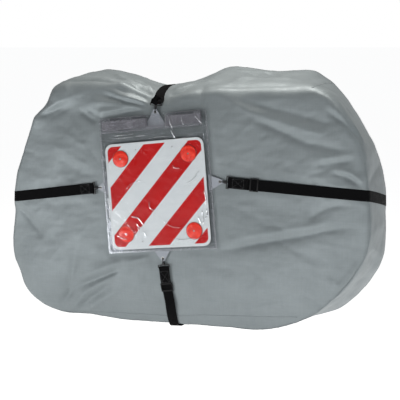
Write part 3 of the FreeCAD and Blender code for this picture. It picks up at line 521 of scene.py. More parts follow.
MIDDLE_OUTLINE = [
    (-607.8, 12.8), (-528.3, 6.0), (-450.2, 5.7), (-368.5, 3.5), (-284.4, 2.4), (-201.8, 2.3),
    (-119.7, 2.9), (-36.8, 3.8), (46.7, 5.1), (130.4, 8.6), (214.3, 10.6), (298.1, 12.5),
    (381.6, 14.2), (466.0, 20.0), (553.5, 35.4), (640.3, 59.7), (740.9, 107.1), (821.0, 176.1),
    (881.5, 259.4), (923.5, 352.4), (941.2, 453.1), (941.0, 555.8), (936.6, 658.2), (922.0, 759.1),
    (897.8, 856.1), (854.8, 945.7), (799.9, 1028.7), (739.1, 1107.3), (663.7, 1157.6), (610.8, 1173.3),
    (552.3, 1184.0), (484.8, 1185.6), (413.0, 1182.7), (343.6, 1182.4), (275.6, 1184.2), (208.5, 1183.0),
    (139.4, 1180.0), (67.6, 1167.3), (-4.2, 1156.2), (-77.0, 1138.1), (-142.5, 1130.9), (-195.9, 1135.7),
    (-248.9, 1146.0), (-313.7, 1159.2), (-388.0, 1171.8), (-464.5, 1181.0), (-534.4, 1182.2), (-600.6, 1158.6),
    (-659.6, 1078.6), (-717.6, 991.3), (-758.8, 898.4), (-786.6, 801.7), (-815.9, 705.3), (-835.1, 607.1),
    (-840.9, 506.6), (-845.7, 406.8), (-841.8, 307.8), (-816.9, 210.9), (-772.5, 121.2), (-701.3, 51.6),
]
BACK_OUTLINE = [
    (-599.8, 19.9), (-521.6, 13.0), (-447.8, 8.7), (-367.2, 5.4), (-281.9, 4.4), (-200.0, 3.7),
    (-119.0, 3.9), (-36.7, 5.2), (46.7, 5.8), (130.4, 8.5), (214.8, 9.2), (299.0, 10.7),
    (383.1, 12.0), (469.8, 15.6), (564.8, 24.8), (661.3, 43.3), (772.5, 87.8), (851.0, 162.1),
    (902.0, 252.4), (931.4, 350.6), (934.5, 453.8), (929.2, 555.9), (926.5, 657.2), (905.6, 755.6),
    (869.1, 846.6), (819.8, 929.9), (767.7, 1009.8), (713.7, 1088.5), (656.0, 1150.6), (617.0, 1179.5),
    (568.5, 1202.3), (500.4, 1205.7), (424.5, 1200.0), (353.8, 1200.9), (286.2, 1208.2), (219.3, 1215.4),
    (148.7, 1218.5), (71.0, 1193.8), (-4.0, 1143.4), (-73.5, 1113.8), (-135.4, 1103.2), (-187.7, 1111.6),
    (-238.3, 1122.9), (-302.9, 1142.5), (-383.3, 1168.3), (-467.9, 1187.6), (-541.3, 1194.9), (-607.5, 1169.5),
    (-668.8, 1087.2), (-719.3, 993.9), (-754.4, 897.9), (-782.5, 800.5), (-805.2, 703.4), (-821.2, 606.3),
    (-830.1, 507.3), (-831.8, 409.4), (-825.0, 312.9), (-803.7, 216.5), (-762.8, 126.7), (-694.6, 56.4),
]
UNDER0, RIGHT0, TOP0, LEFT0, NST = 0, 15, 28, 47, 60

SIGN = np.array([-45.0, -300.0, 646.0])
SU = unit([0.99263243, -0.00438153, 0.12108536])
SV = np.array([-0.12000166, 0.10257581, 0.98746028])
SV = unit(SV - SU * (SV @ SU))
SN = np.cross(SU, SV)


def sp(u, v, n=0.0):
    u, v, n = (np.asarray(a, float)[..., None] for a in (u, v, n))
    return SIGN + SU * u + SV * v + SN * n


def to_uvn(P):
    Q = np.asarray(P, float) - SIGN
    return Q @ SU, Q @ SV, Q @ SN


def periodic(P):
    P = np.array(P, float)
    n = len(P)
    A = np.zeros((n, n))
    for i in range(n):
        A[i, i], A[i, (i + 1) % n], A[i, (i - 1) % n] = 4, 1, 1
    D = np.linalg.solve(A, 3 * (np.roll(P, -1, 0) - np.roll(P, 1, 0)))

    def ev(t):
        t = np.asarray(t, float) % n
        i = np.floor(t).astype(int) % n
        q = (t - np.floor(t))[..., None]
        j = (i + 1) % n
        return ((2 * q**3 - 3 * q**2 + 1) * P[i] + (q**3 - 2 * q**2 + q) * D[i]
                + (-2 * q**3 + 3 * q**2) * P[j] + (q**3 - q**2) * D[j])

    return ev


fF, fM, fB = periodic(FRONT_OUTLINE), periodic(MIDDLE_OUTLINE), periodic(BACK_OUTLINE)


def sheet_y(x, z):
    o = SIGN + SN * -19.2
    return o[1] - (SN[0] * (x - o[0]) + SN[2] * (z - o[2])) / SN[1]


def seam_y(z):
    t = np.clip((z - 450.0) / 700.0, 0.0, 1.1)
    return -240.0 + 14.0 * t * t


def fade(t):
    t = np.clip(t, 0.0, 1.25)
    return 1.0 - t * t


def front_y(x, z):
    wx = fade(np.maximum(np.abs(x + 45.0) - 300.0, 0.0) / np.where(x < -45.0, 598.0, 680.0))
    wz = fade(np.where(z > 960.0, (z - 960.0) / 215.0, np.where(z < 300.0, (300.0 - z) / 300.0, 0.0)))
    b = seam_y(z)
    return b + (sheet_y(x, z) - b) * np.maximum(wx, -0.2) * np.maximum(wz, -0.2)


def back_y(x, z):
    return 240.0 + 26.0 * np.maximum(fade(np.abs(x) / 950.0), 0) * np.maximum(fade(np.abs(z - 580.0) / 640.0), 0)


def gusset(i, t):
    f, mm, b = fF(i), fM(i), fB(i)
    t = np.asarray(t, float)
    y0, y1 = front_y(f[..., 0], f[..., 1]), back_y(b[..., 0], b[..., 1])
    wf, wm, wb = (1 - t) * (1 - 2 * t), 4 * t * (1 - t), t * (2 * t - 1)
    return np.stack([f[..., 0] * wf + mm[..., 0] * wm + b[..., 0] * wb, y0 + (y1 - y0) * t,
                     f[..., 1] * wf + mm[..., 1] * wm + b[..., 1] * wb], -1)


def inside_poly(pts, poly):
    x, z = pts[:, 0], pts[:, 1]
    res = np.zeros(len(pts), bool)
    xi, zi = poly[:, 0], poly[:, 1]
    xj, zj = np.roll(xi, 1), np.roll(zi, 1)
    for a in range(0, len(pts), 4000):
        s = slice(a, a + 4000)
        c = (zi[None] > z[s, None]) != (zj[None] > z[s, None])
        xc = (xj - xi)[None] * (z[s, None] - zi[None]) / np.where(zj == zi, 1e-9, zj - zi)[None] + xi[None]
        res[s] = (np.sum(c & (x[s, None] < xc), axis=1) % 2) == 1
    return res


def dist_poly(pts, poly):
    a, b = poly, np.roll(poly, -1, 0)
    d = b - a
    l2 = np.maximum((d * d).sum(1), 1e-9)
    out = np.empty(len(pts))
    for s0 in range(0, len(pts), 3000):
        q = pts[s0:s0 + 3000]
        t = np.clip(((q[:, None] - a[None]) * d[None]).sum(2) / l2[None], 0, 1)
        out[s0:s0 + 3000] = np.sqrt((((a[None] + t[..., None] * d[None]) - q[:, None]) ** 2).sum(2)).min(1)
    return out


def hexgrid(lo, hi, h, seed):
    r = np.random.RandomState(seed)
    rows = []
    k = 0
    y = lo[1]
    while y < hi[1]:
        xs = np.arange(lo[0] + (h / 2 if k % 2 else 0), hi[0], h)
        rows.append(np.stack([xs, np.full(len(xs), y)], 1))
        y += h * 0.866
        k += 1
    p = np.concatenate(rows)
    return p + r.uniform(-0.12 * h, 0.12 * h, p.shape)


def fill(ring_sets, interior, keep):
    """Constrained triangulation. Returns triangles as indexes into rings then interior."""
    pts = np.concatenate(list(ring_sets) + [interior])
    edges, at = [], 0
    for r in ring_sets:
        n = len(r)
        edges += [(at + i, at + (i + 1) % n) for i in range(n)]
        at += n
    vo, eo, fo, ov, oe, of_ = delaunay_2d_cdt([Vector(p) for p in pts], edges, [], 0, 1e-7)
    back = [o[0] if o else -1 for o in ov]
    tri = np.array([[back[i] for i in f] for f in fo if len(f) == 3])
    tri = tri[(tri >= 0).all(1)]
    cen = pts[tri].mean(1)
    return tri[keep(cen)]


NI, NT = 600, 54          # steps round the outline and across the depth
HX = 7.4                  # spacing inside the front and back panels
ip = np.arange(NI) * NST / NI
G = np.stack([gusset(ip, np.full(NI, t)) for t in np.linspace(0, 1, NT + 1)], 1)
nG = NI * (NT + 1)


def gi(i, j):
    return (i % NI) * (NT + 1) + j


ringF, ringB = G[:, 0][:, [0, 2]], G[:, NT][:, [0, 2]]


def panel_points(ring, seed):
    p = hexgrid(ring.min(0), ring.max(0), HX, seed)
    p = p[inside_poly(p, ring)]
    d = dist_poly(p, ring)
    return p[d > 0.62 * HX], d[d > 0.62 * HX]


pf, df_ = panel_points(ringF, 1)
pb_, db_ = panel_points(ringB, 2)
PF = np.stack([pf[:, 0], front_y(pf[:, 0], pf[:, 1]), pf[:, 1]], 1)
PB = np.stack([pb_[:, 0], back_y(pb_[:, 0], pb_[:, 1]), pb_[:, 1]], 1)
oF, oB = nG, nG + len(PF)
triF = fill([ringF], pf, lambda c: inside_poly(c, ringF))
triB = fill([ringB], pb_, lambda c: inside_poly(c, ringB))
mapF = np.concatenate([[gi(i, 0) for i in range(NI)], oF + np.arange(len(PF))])
mapB = np.concatenate([[gi(i, NT) for i in range(NI)], oB + np.arange(len(PB))])
facesF = mapF[triF]
facesB = mapB[triB]
# outward: front faces look to -y, back faces to +y

k0, k1 = UNDER0 * 10, RIGHT0 * 10
quads = []
for i in range(k1, NI):
    for j in range(NT):
        quads.append((gi(i, j), gi(i + 1, j), gi(i + 1, j + 1), gi(i, j + 1)))
quads = np.array(quads)
quad_i = np.array([q[0] // (NT + 1) for q in quads])

# underside: cut in plan, with the elasticated slot
SLOT_HALF, SLOT_R = 435.0, 140.0


def racetrack(n, r, half=SLOT_HALF - SLOT_R):
    """n points anticlockwise seen from above, evenly spaced along the slot, and the outward direction."""
    L = 4 * half + 2 * math.pi * SLOT_R
    s = np.arange(n) * L / n
    out, nor = [], []
    a, b, c, d = 2 * half, 2 * half + math.pi * SLOT_R, 4 * half + math.pi * SLOT_R, L
    for q in s:
        if q < a:
            out.append((-half + q, -r)); nor.append((0, -1))
        elif q < b:
            g = (q - a) / SLOT_R - math.pi / 2
            out.append((half + r * math.cos(g), r * math.sin(g))); nor.append((math.cos(g), math.sin(g)))
        elif q < c:
            out.append((half - (q - b), r)); nor.append((0, 1))
        else:
            g = (q - c) / SLOT_R + math.pi / 2
            out.append((-half + r * math.cos(g), r * math.sin(g))); nor.append((math.cos(g), math.sin(g)))
    return np.array(out), np.array(nor), s, L


NH = 420
hole, hole_n, hole_s, HOLE_L = racetrack(NH, SLOT_R)
border = [gi(i, 0) for i in range(k0, k1 + 1)] + [gi(k1, j) for j in range(1, NT + 1)] \
    + [gi(i, NT) for i in range(k1 - 1, k0 - 1, -1)] + [gi(k0, j) for j in range(NT - 1, 0, -1)]
Gf = G.reshape(-1, 3)
ring_u = Gf[border][:, :2]
pu = hexgrid(ring_u.min(0), ring_u.max(0), 8.0, 3)
pu = pu[inside_poly(pu, ring_u) & ~inside_poly(pu, hole)]
pu = pu[(dist_poly(pu, ring_u) > 5.0) & (dist_poly(pu, hole) > 4.6)]


def under_z(p):
    """Height of the underside over points in plan."""
    sub = G[k0:k1 + 1]
    y0 = np.array([front_y(*fF(i)) for i in np.linspace(0, 15, 151)])
    out = np.empty(len(p))
    for q, (x, y) in enumerate(p):
        t = (y + 240.0) / 480.0
        for _ in range(2):
            t = min(max(t, 0.0), 1.0)
            j = min(int(t * NT), NT - 1)
            f = t * NT - j
            X = sub[:, j, 0] * (1 - f) + sub[:, j + 1, 0] * f
            Y = sub[:, j, 1] * (1 - f) + sub[:, j + 1, 1] * f
            yy = np.interp(x, X, Y)
            t += (y - yy) / 490.0
        t = min(max(t, 0.0), 1.0)
        j = min(int(t * NT), NT - 1)
        f = t * NT - j
        X = sub[:, j, 0] * (1 - f) + sub[:, j + 1, 0] * f
        Z = sub[:, j, 2] * (1 - f) + sub[:, j + 1, 2] * f
        out[q] = np.interp(x, X, Z)
    return out


triU = fill([ring_u, hole], pu, lambda c: inside_poly(c, ring_u) & ~inside_poly(c, hole))
PH = np.column_stack([hole, under_z(hole)])
PU = np.column_stack([pu, under_z(pu)])
oH = oB + len(PB)
oU = oH + NH
mapU = np.concatenate([border, oH + np.arange(NH), oU + np.arange(len(PU))])
facesU = mapU[triU]

P0 = np.concatenate([Gf, PF, PB, PH, PU])
TRI = np.concatenate([facesF, facesB, facesU, quads[:, [0, 1, 2]], quads[:, [0, 2, 3]]])


def face_dir(tris, want):
    a, b, c = P0[tris[:, 0]], P0[tris[:, 1]], P0[tris[:, 2]]
    n = np.cross(b - a, c - a)
    flip = (n @ np.array(want)) < 0
    out = tris.copy()
    out[flip] = out[flip][:, [0, 2, 1]]
    return out


facesF = face_dir(facesF, (0, -1, 0))
facesB = face_dir(facesB, (0, 1, 0))
facesU = face_dir(facesU, (0, 0, -1))
# gusset quads look away from the middle
qa, qb, qc = P0[quads[:, 0]], P0[quads[:, 1]], P0[quads[:, 2]]
qn = np.cross(qb - qa, qc - qa)
mid = qa - np.array([0.0, 0.0, 560.0])
mid[:, 1] = 0
bad = (qn * mid).sum(1) < 0
quads[bad] = quads[bad][:, [0, 3, 2, 1]]
TRI = np.concatenate([facesF, facesB, facesU, quads[:, [0, 1, 2]], quads[:, [0, 2, 3]]])
NV = len(P0)

edges = np.unique(np.sort(np.concatenate([TRI[:, [0, 1]], TRI[:, [1, 2]], TRI[:, [2, 0]]]), axis=1), axis=0)
deg = np.bincount(edges.ravel(), minlength=NV).astype(float)
used = deg > 0
deg[~used] = 1


def relax(P, w, times, lam=0.5):
    """Laplacian smoothing with a weight for each point."""
    for _ in range(times):
        S = np.stack([np.bincount(edges[:, 0], P[edges[:, 1], c], NV) + np.bincount(edges[:, 1], P[edges[:, 0], c], NV)
                      for c in range(3)], 1) / deg[:, None]
        P = P + (S - P) * (w * lam)[:, None]
    return P


def relax1(v, times, lam=0.5, w=None):
    for _ in range(times):
        s = (np.bincount(edges[:, 0], v[edges[:, 1]], NV) + np.bincount(edges[:, 1], v[edges[:, 0]], NV)) / deg
        v = v + (s - v) * lam * (1 if w is None else w)
    return v


def vert_normals(P):
    a, b, c = P[TRI[:, 0]], P[TRI[:, 1]], P[TRI[:, 2]]
    n = np.cross(b - a, c - a)
    N = np.stack([np.bincount(TRI.ravel(), np.repeat(n[:, q], 3), NV) for q in range(3)], 1)
    return unit(N)


# how close each point is to a seam between the face and the gusset
near = np.zeros(NV)
jj = np.tile(np.arange(NT + 1), NI)
near[:nG] = np.exp(-(np.minimum(jj, NT - jj) * 9.0 / 15.0) ** 2)
near[oF:oF + len(PF)] = np.exp(-(df_ / 15.0) ** 2)
near[oB:oB + len(PB)] = np.exp(-(db_ / 15.0) ** 2)
hole_mask = np.zeros(NV, bool)
hole_mask[oH:oH + NH] = True
w0 = near.copy()
w0[hole_mask] = 0
PS = relax(P0, np.clip(w0 * 1.2, 0, 1), 5)
# over the top the front edge is a soft roll with no hard seam, broader on the left and over the right shoulder
kt = kdtree.KDTree(NI)
for q in range(NI):
    kt.insert(P0[gi(q, 0)], q)
kt.balance()
roll, broad = np.zeros(NV), np.zeros(NV)
cand = np.where((P0[:, 1] < -60) & (P0[:, 2] > 780))[0]
for q in cand:
    co, ix, dd = kt.find(P0[q])
    a = ix / 10.0
    end = float(smooth01((a - 21.5) / 3.0) * smooth01((49.5 - a) / 3.0))
    roll[q] = math.exp(-(dd / 46.0) ** 2) * end
    x = P0[q, 0]
    broad[q] = math.exp(-(dd / 80.0) ** 2) * end * max(float(smooth01((60.0 - x) / 160.0)),
                                                        float(smooth01((x - 190.0) / 150.0) * smooth01((690.0 - x) / 150.0)))
PS = relax(PS, roll, 44)
PS = relax(PS, broad, 70)
NS = vert_normals(PS)

ii_v = np.zeros(NV)
tt_v = np.zeros(NV)
ii_v[:nG] = np.repeat(ip, NT + 1)
tt_v[:nG] = np.tile(np.linspace(0, 1, NT + 1), NI)

# =====================================================================
# hooks and strap routes
# =====================================================================
HOOKS = {"left": (-293.0, 50.0, 180.8), "right": (311.0, 38.0, -9.6), "top": (19.0, 382.0, 80.0),
         "bottom": (-1.0, -300.0, -88.0)}
HF = {}
for _n, (_u, _v, _a) in HOOKS.items():
    _a = math.radians(_a)
    _o = SU * math.cos(_a) + SV * math.sin(_a)
    HF[_n] = (sp(_u, _v, -10.25) + _o * 30.2, -_o, np.cross(SN, -_o))


def lp(name, x, y=0.0, z=0.0):
    o, ax, wy = HF[name]
    return o + ax * x + wy * y + SN * z


def station(f, value, axis, lo, hi):
    """Station between lo and hi where an outline's x or z has that value."""
    s = np.linspace(lo, hi, 900)
    v = f(s)[:, axis] - value
    k = np.where(v[:-1] * v[1:] <= 0)[0]
    k = k[0] if len(k) else int(np.argmin(np.abs(v)))
    d = v[k] - v[k + 1]
    return s[k] + (s[k + 1] - s[k]) * (v[k] / d if d else 0.0)


def front_normal(x, z):
    e = 4.0
    return unit([(front_y(x + e, z) - front_y(x - e, z)) / (2 * e), -1.0, (front_y(x, z + e) - front_y(x, z - e)) / (2 * e)])


def route_horizontal():
    """Centre line from the left hook round the back to the right hook: (point, snap to the cloth?, lift)."""
    out = []
    pL = lp("left", -60)
    for x in (-23.0, -34.0, -47.0):
        out.append((lp("left", x, 0, -0.95), 0, 0))
    n = 26
    for k in range(n + 1):
        t = k / n
        x = pL[0] + (-824.0 - pL[0]) * t
        z = pL[2] + (584.0 - pL[2]) * t
        d = 2.0 + 7.2 * max(0.0, 1 - t * 2.2)
        out.append((np.array([x, front_y(x, z) - d, z]), 1 if t > 0.5 else 0, 0))
    for k in range(0, 25):
        t = k / 24.0
        z = 584.0 + (578.0 - 584.0) * t
        i = station(fF, z, 1, LEFT0, NST) * (1 - t) + station(fB, z, 1, LEFT0, NST) * t
        out.append((gusset(np.array([i]), t)[0], 1, 0))
    xb0, xb1 = out[-1][0][0], gusset(np.array([station(fB, 585.0, 1, RIGHT0, TOP0)]), 1.0)[0][0]
    for k in range(1, 90):
        t = k / 90.0
        x, z = xb0 + (xb1 - xb0) * t, 578.0 + 7.0 * t
        out.append((np.array([x, back_y(x, z), z]), 1, 0))
    for k in range(24, -1, -1):
        t = k / 24.0
        z = 686.0 + (585.0 - 686.0) * t
        i = station(fF, z, 1, RIGHT0, TOP0) * (1 - t) + station(fB, z, 1, RIGHT0, TOP0) * t
        out.append((gusset(np.array([i]), t)[0], 1, 0))
    far = lp("right", -276.0)
    far[1] = front_y(far[0], far[2]) - 7.0
    xr = out[-1][0][0]
    n = 16
    for k in range(n, 0, -1):
        t = k / n
        x = far[0] + (xr - 14 - far[0]) * t
        z = far[2] + (686.0 - far[2]) * t
        d = 2.0 + 5.0 * max(0.0, 1 - t * 1.6)
        out.append((np.array([x, front_y(x, z) - d, z]), 1 if t > 0.66 else 0, 0))
    a = lp("right", -60)
    for k in range(0, 13):
        out.append((far + (a - far) * (k / 12.0), 0, 0))
    for x in (-47.0, -34.0, -23.0):
        out.append((lp("right", x, 0, -0.95), 0, 0))
    return out, far, unit(far - a), a


def route_vertical():
    out = [(lp("top", -22.0, 0, -0.95), 0, 0)]
    sf, sm, sb = (station(f, v, 0, TOP0, LEFT0) for f, v in ((fF, -66.0), (fM, -107.0), (fB, -150.0)))
    for k in range(0, 27):
        t = k / 26.0
        s = sf + (sm - sf) * (t / 0.5) if t < 0.5 else sm + (sb - sm) * ((t - 0.5) / 0.5)
        out.append((gusset(np.array([s]), t)[0], 1, 0))
    zb = out[-1][0][2] - 14.0
    for k in range(0, 80):
        t = k / 79.0
        x, z = -152.0 + 210.0 * t, zb + (18.0 - zb) * t
        cross = max(0.0, 1 - abs(z - 581.0) / 42.0)
        out.append((np.array([x, back_y(x, z), z]), 1, 1.9 * min(1.0, cross * 2.2)))
    for p in ((57.0, 245.0, 5.0), (56.0, 238.0, -2.6), (54.0, 200.0, -3.0), (50.0, 140.0, -3.3), (44.0, 70.0, -3.4),
              (38.0, 0.0, -3.4), (33.0, -70.0, -3.4), (28.0, -140.0, -3.3), (23.0, -200.0, -3.0), (20.0, -232.0, -1.8),
              (18.0, -246.5, 6.0)):
        out.append((np.array(p), 0, 0))
    far = lp("bottom", -192.0)
    far[1] = front_y(far[0], far[2]) - 12.5
    for z in (30.0, 48.0, 66.0, 84.0, 102.0):
        t = (z - 7.0) / (far[2] - 7.0)
        x = 17.5 + (far[0] - 17.5) * t
        out.append((np.array([x, front_y(x, z) - 3.4 - 9.0 * t, z]), 0, 0))
    b = lp("bottom", -60)
    for k in range(0, 10):
        out.append((far + (b - far) * (k / 9.0), 0, 0))
    for x in (-47.0, -34.0, -23.0):
        out.append((lp("bottom", x, 0, -0.95), 0, 0))
    return out, far, unit(far - b), b


RH, farR, dirR, endR = route_horizontal()
RV, farB, dirB, endB = route_vertical()
tight = []                 # runs that a slider travels on
for a, b in ((endR, farR), (endB, farB)):
    tight += [a + (b - a) * q for q in np.linspace(0, 1, 30)]
for _n in HOOKS:
    tight += [lp(_n, x) for x in np.linspace(-60, 34, 14)]
line_pts = [p for p, s, l in RH] + [p for p, s, l in RV if p[2] > 4.0 or abs(p[1]) > 235.0]


def near_points(P, pts):
    kd = kdtree.KDTree(len(pts))
    for q, p in enumerate(pts):
        kd.insert(p, q)
    kd.balance()
    return np.array([kd.find(p)[2] for p in P]), None


dense = []
for L in (RH, RV):
    for (a, _, _), (b, _, _) in zip(L[:-1], L[1:]):
        n = max(1, int(np.linalg.norm(b - a) / 6.0))
        dense += [a + (b - a) * q / n for q in range(n)]
d_strap, _ = near_points(PS, dense)
d_tight, _ = near_points(PS, tight)

# =====================================================================
# folds
# =====================================================================


def catmull(pts, n):
    """n points along a smooth line through pts."""
    p = np.array(pts, float)
    if len(p) == 2:
        return p[0] + (p[1] - p[0]) * np.linspace(0, 1, n)[:, None]
    p = np.concatenate([[2 * p[0] - p[1]], p, [2 * p[-1] - p[-2]]])
    out = []
    for t in np.linspace(0, len(p) - 3 - 1e-9, n):
        k = int(t)
        q = t - k
        a, b, c, d = p[k:k + 4]
        out.append(0.5 * (2 * b + (c - a) * q + (2 * a - 5 * b + 4 * c - d) * q * q + (3 * b - a - 3 * c + d) * q**3))
    return np.array(out)


def fold_field(P, pts, w0_, w1_, d0_, d1_, open_ends=(False, False), sharp=1.6):
    """Ridge (or valley, if the height is negative) along a line on the cloth."""
    line = catmull(pts, 3 * len(pts))
    wm = max(w0_, w1_)
    lo, hi = line.min(0) - 2.4 * wm, line.max(0) + 2.4 * wm
    msk = np.all((P > lo) & (P < hi), axis=1)
    Q = P[msk]
    out = np.zeros(len(P))
    if not len(Q):
        return out
    seg = np.diff(line, axis=0)
    ln = np.linalg.norm(seg, axis=1)
    cum = np.concatenate([[0], np.cumsum(ln)])
    best = np.full(len(Q), 1e9)
    s = np.zeros(len(Q))
    for k in range(len(seg)):
        t = np.clip((Q - line[k]) @ seg[k] / max(ln[k] ** 2, 1e-9), 0, 1)
        d = np.linalg.norm(Q - (line[k] + t[:, None] * seg[k]), axis=1)
        u = d < best
        best[u] = d[u]
        s[u] = (cum[k] + t[u] * ln[k]) / cum[-1]
    w = w0_ + (w1_ - w0_) * s
    h = d0_ + (d1_ - d0_) * s
    ta = 1.0 if open_ends[0] else 0.25 + 0.75 * smooth01(s / 0.22)
    tb = 1.0 if open_ends[1] else 0.25 + 0.75 * smooth01((1 - s) / 0.22)
    r = best / w
    out[msk] = h * ta * tb * np.exp(-(r ** sharp) * 1.25)
    return out


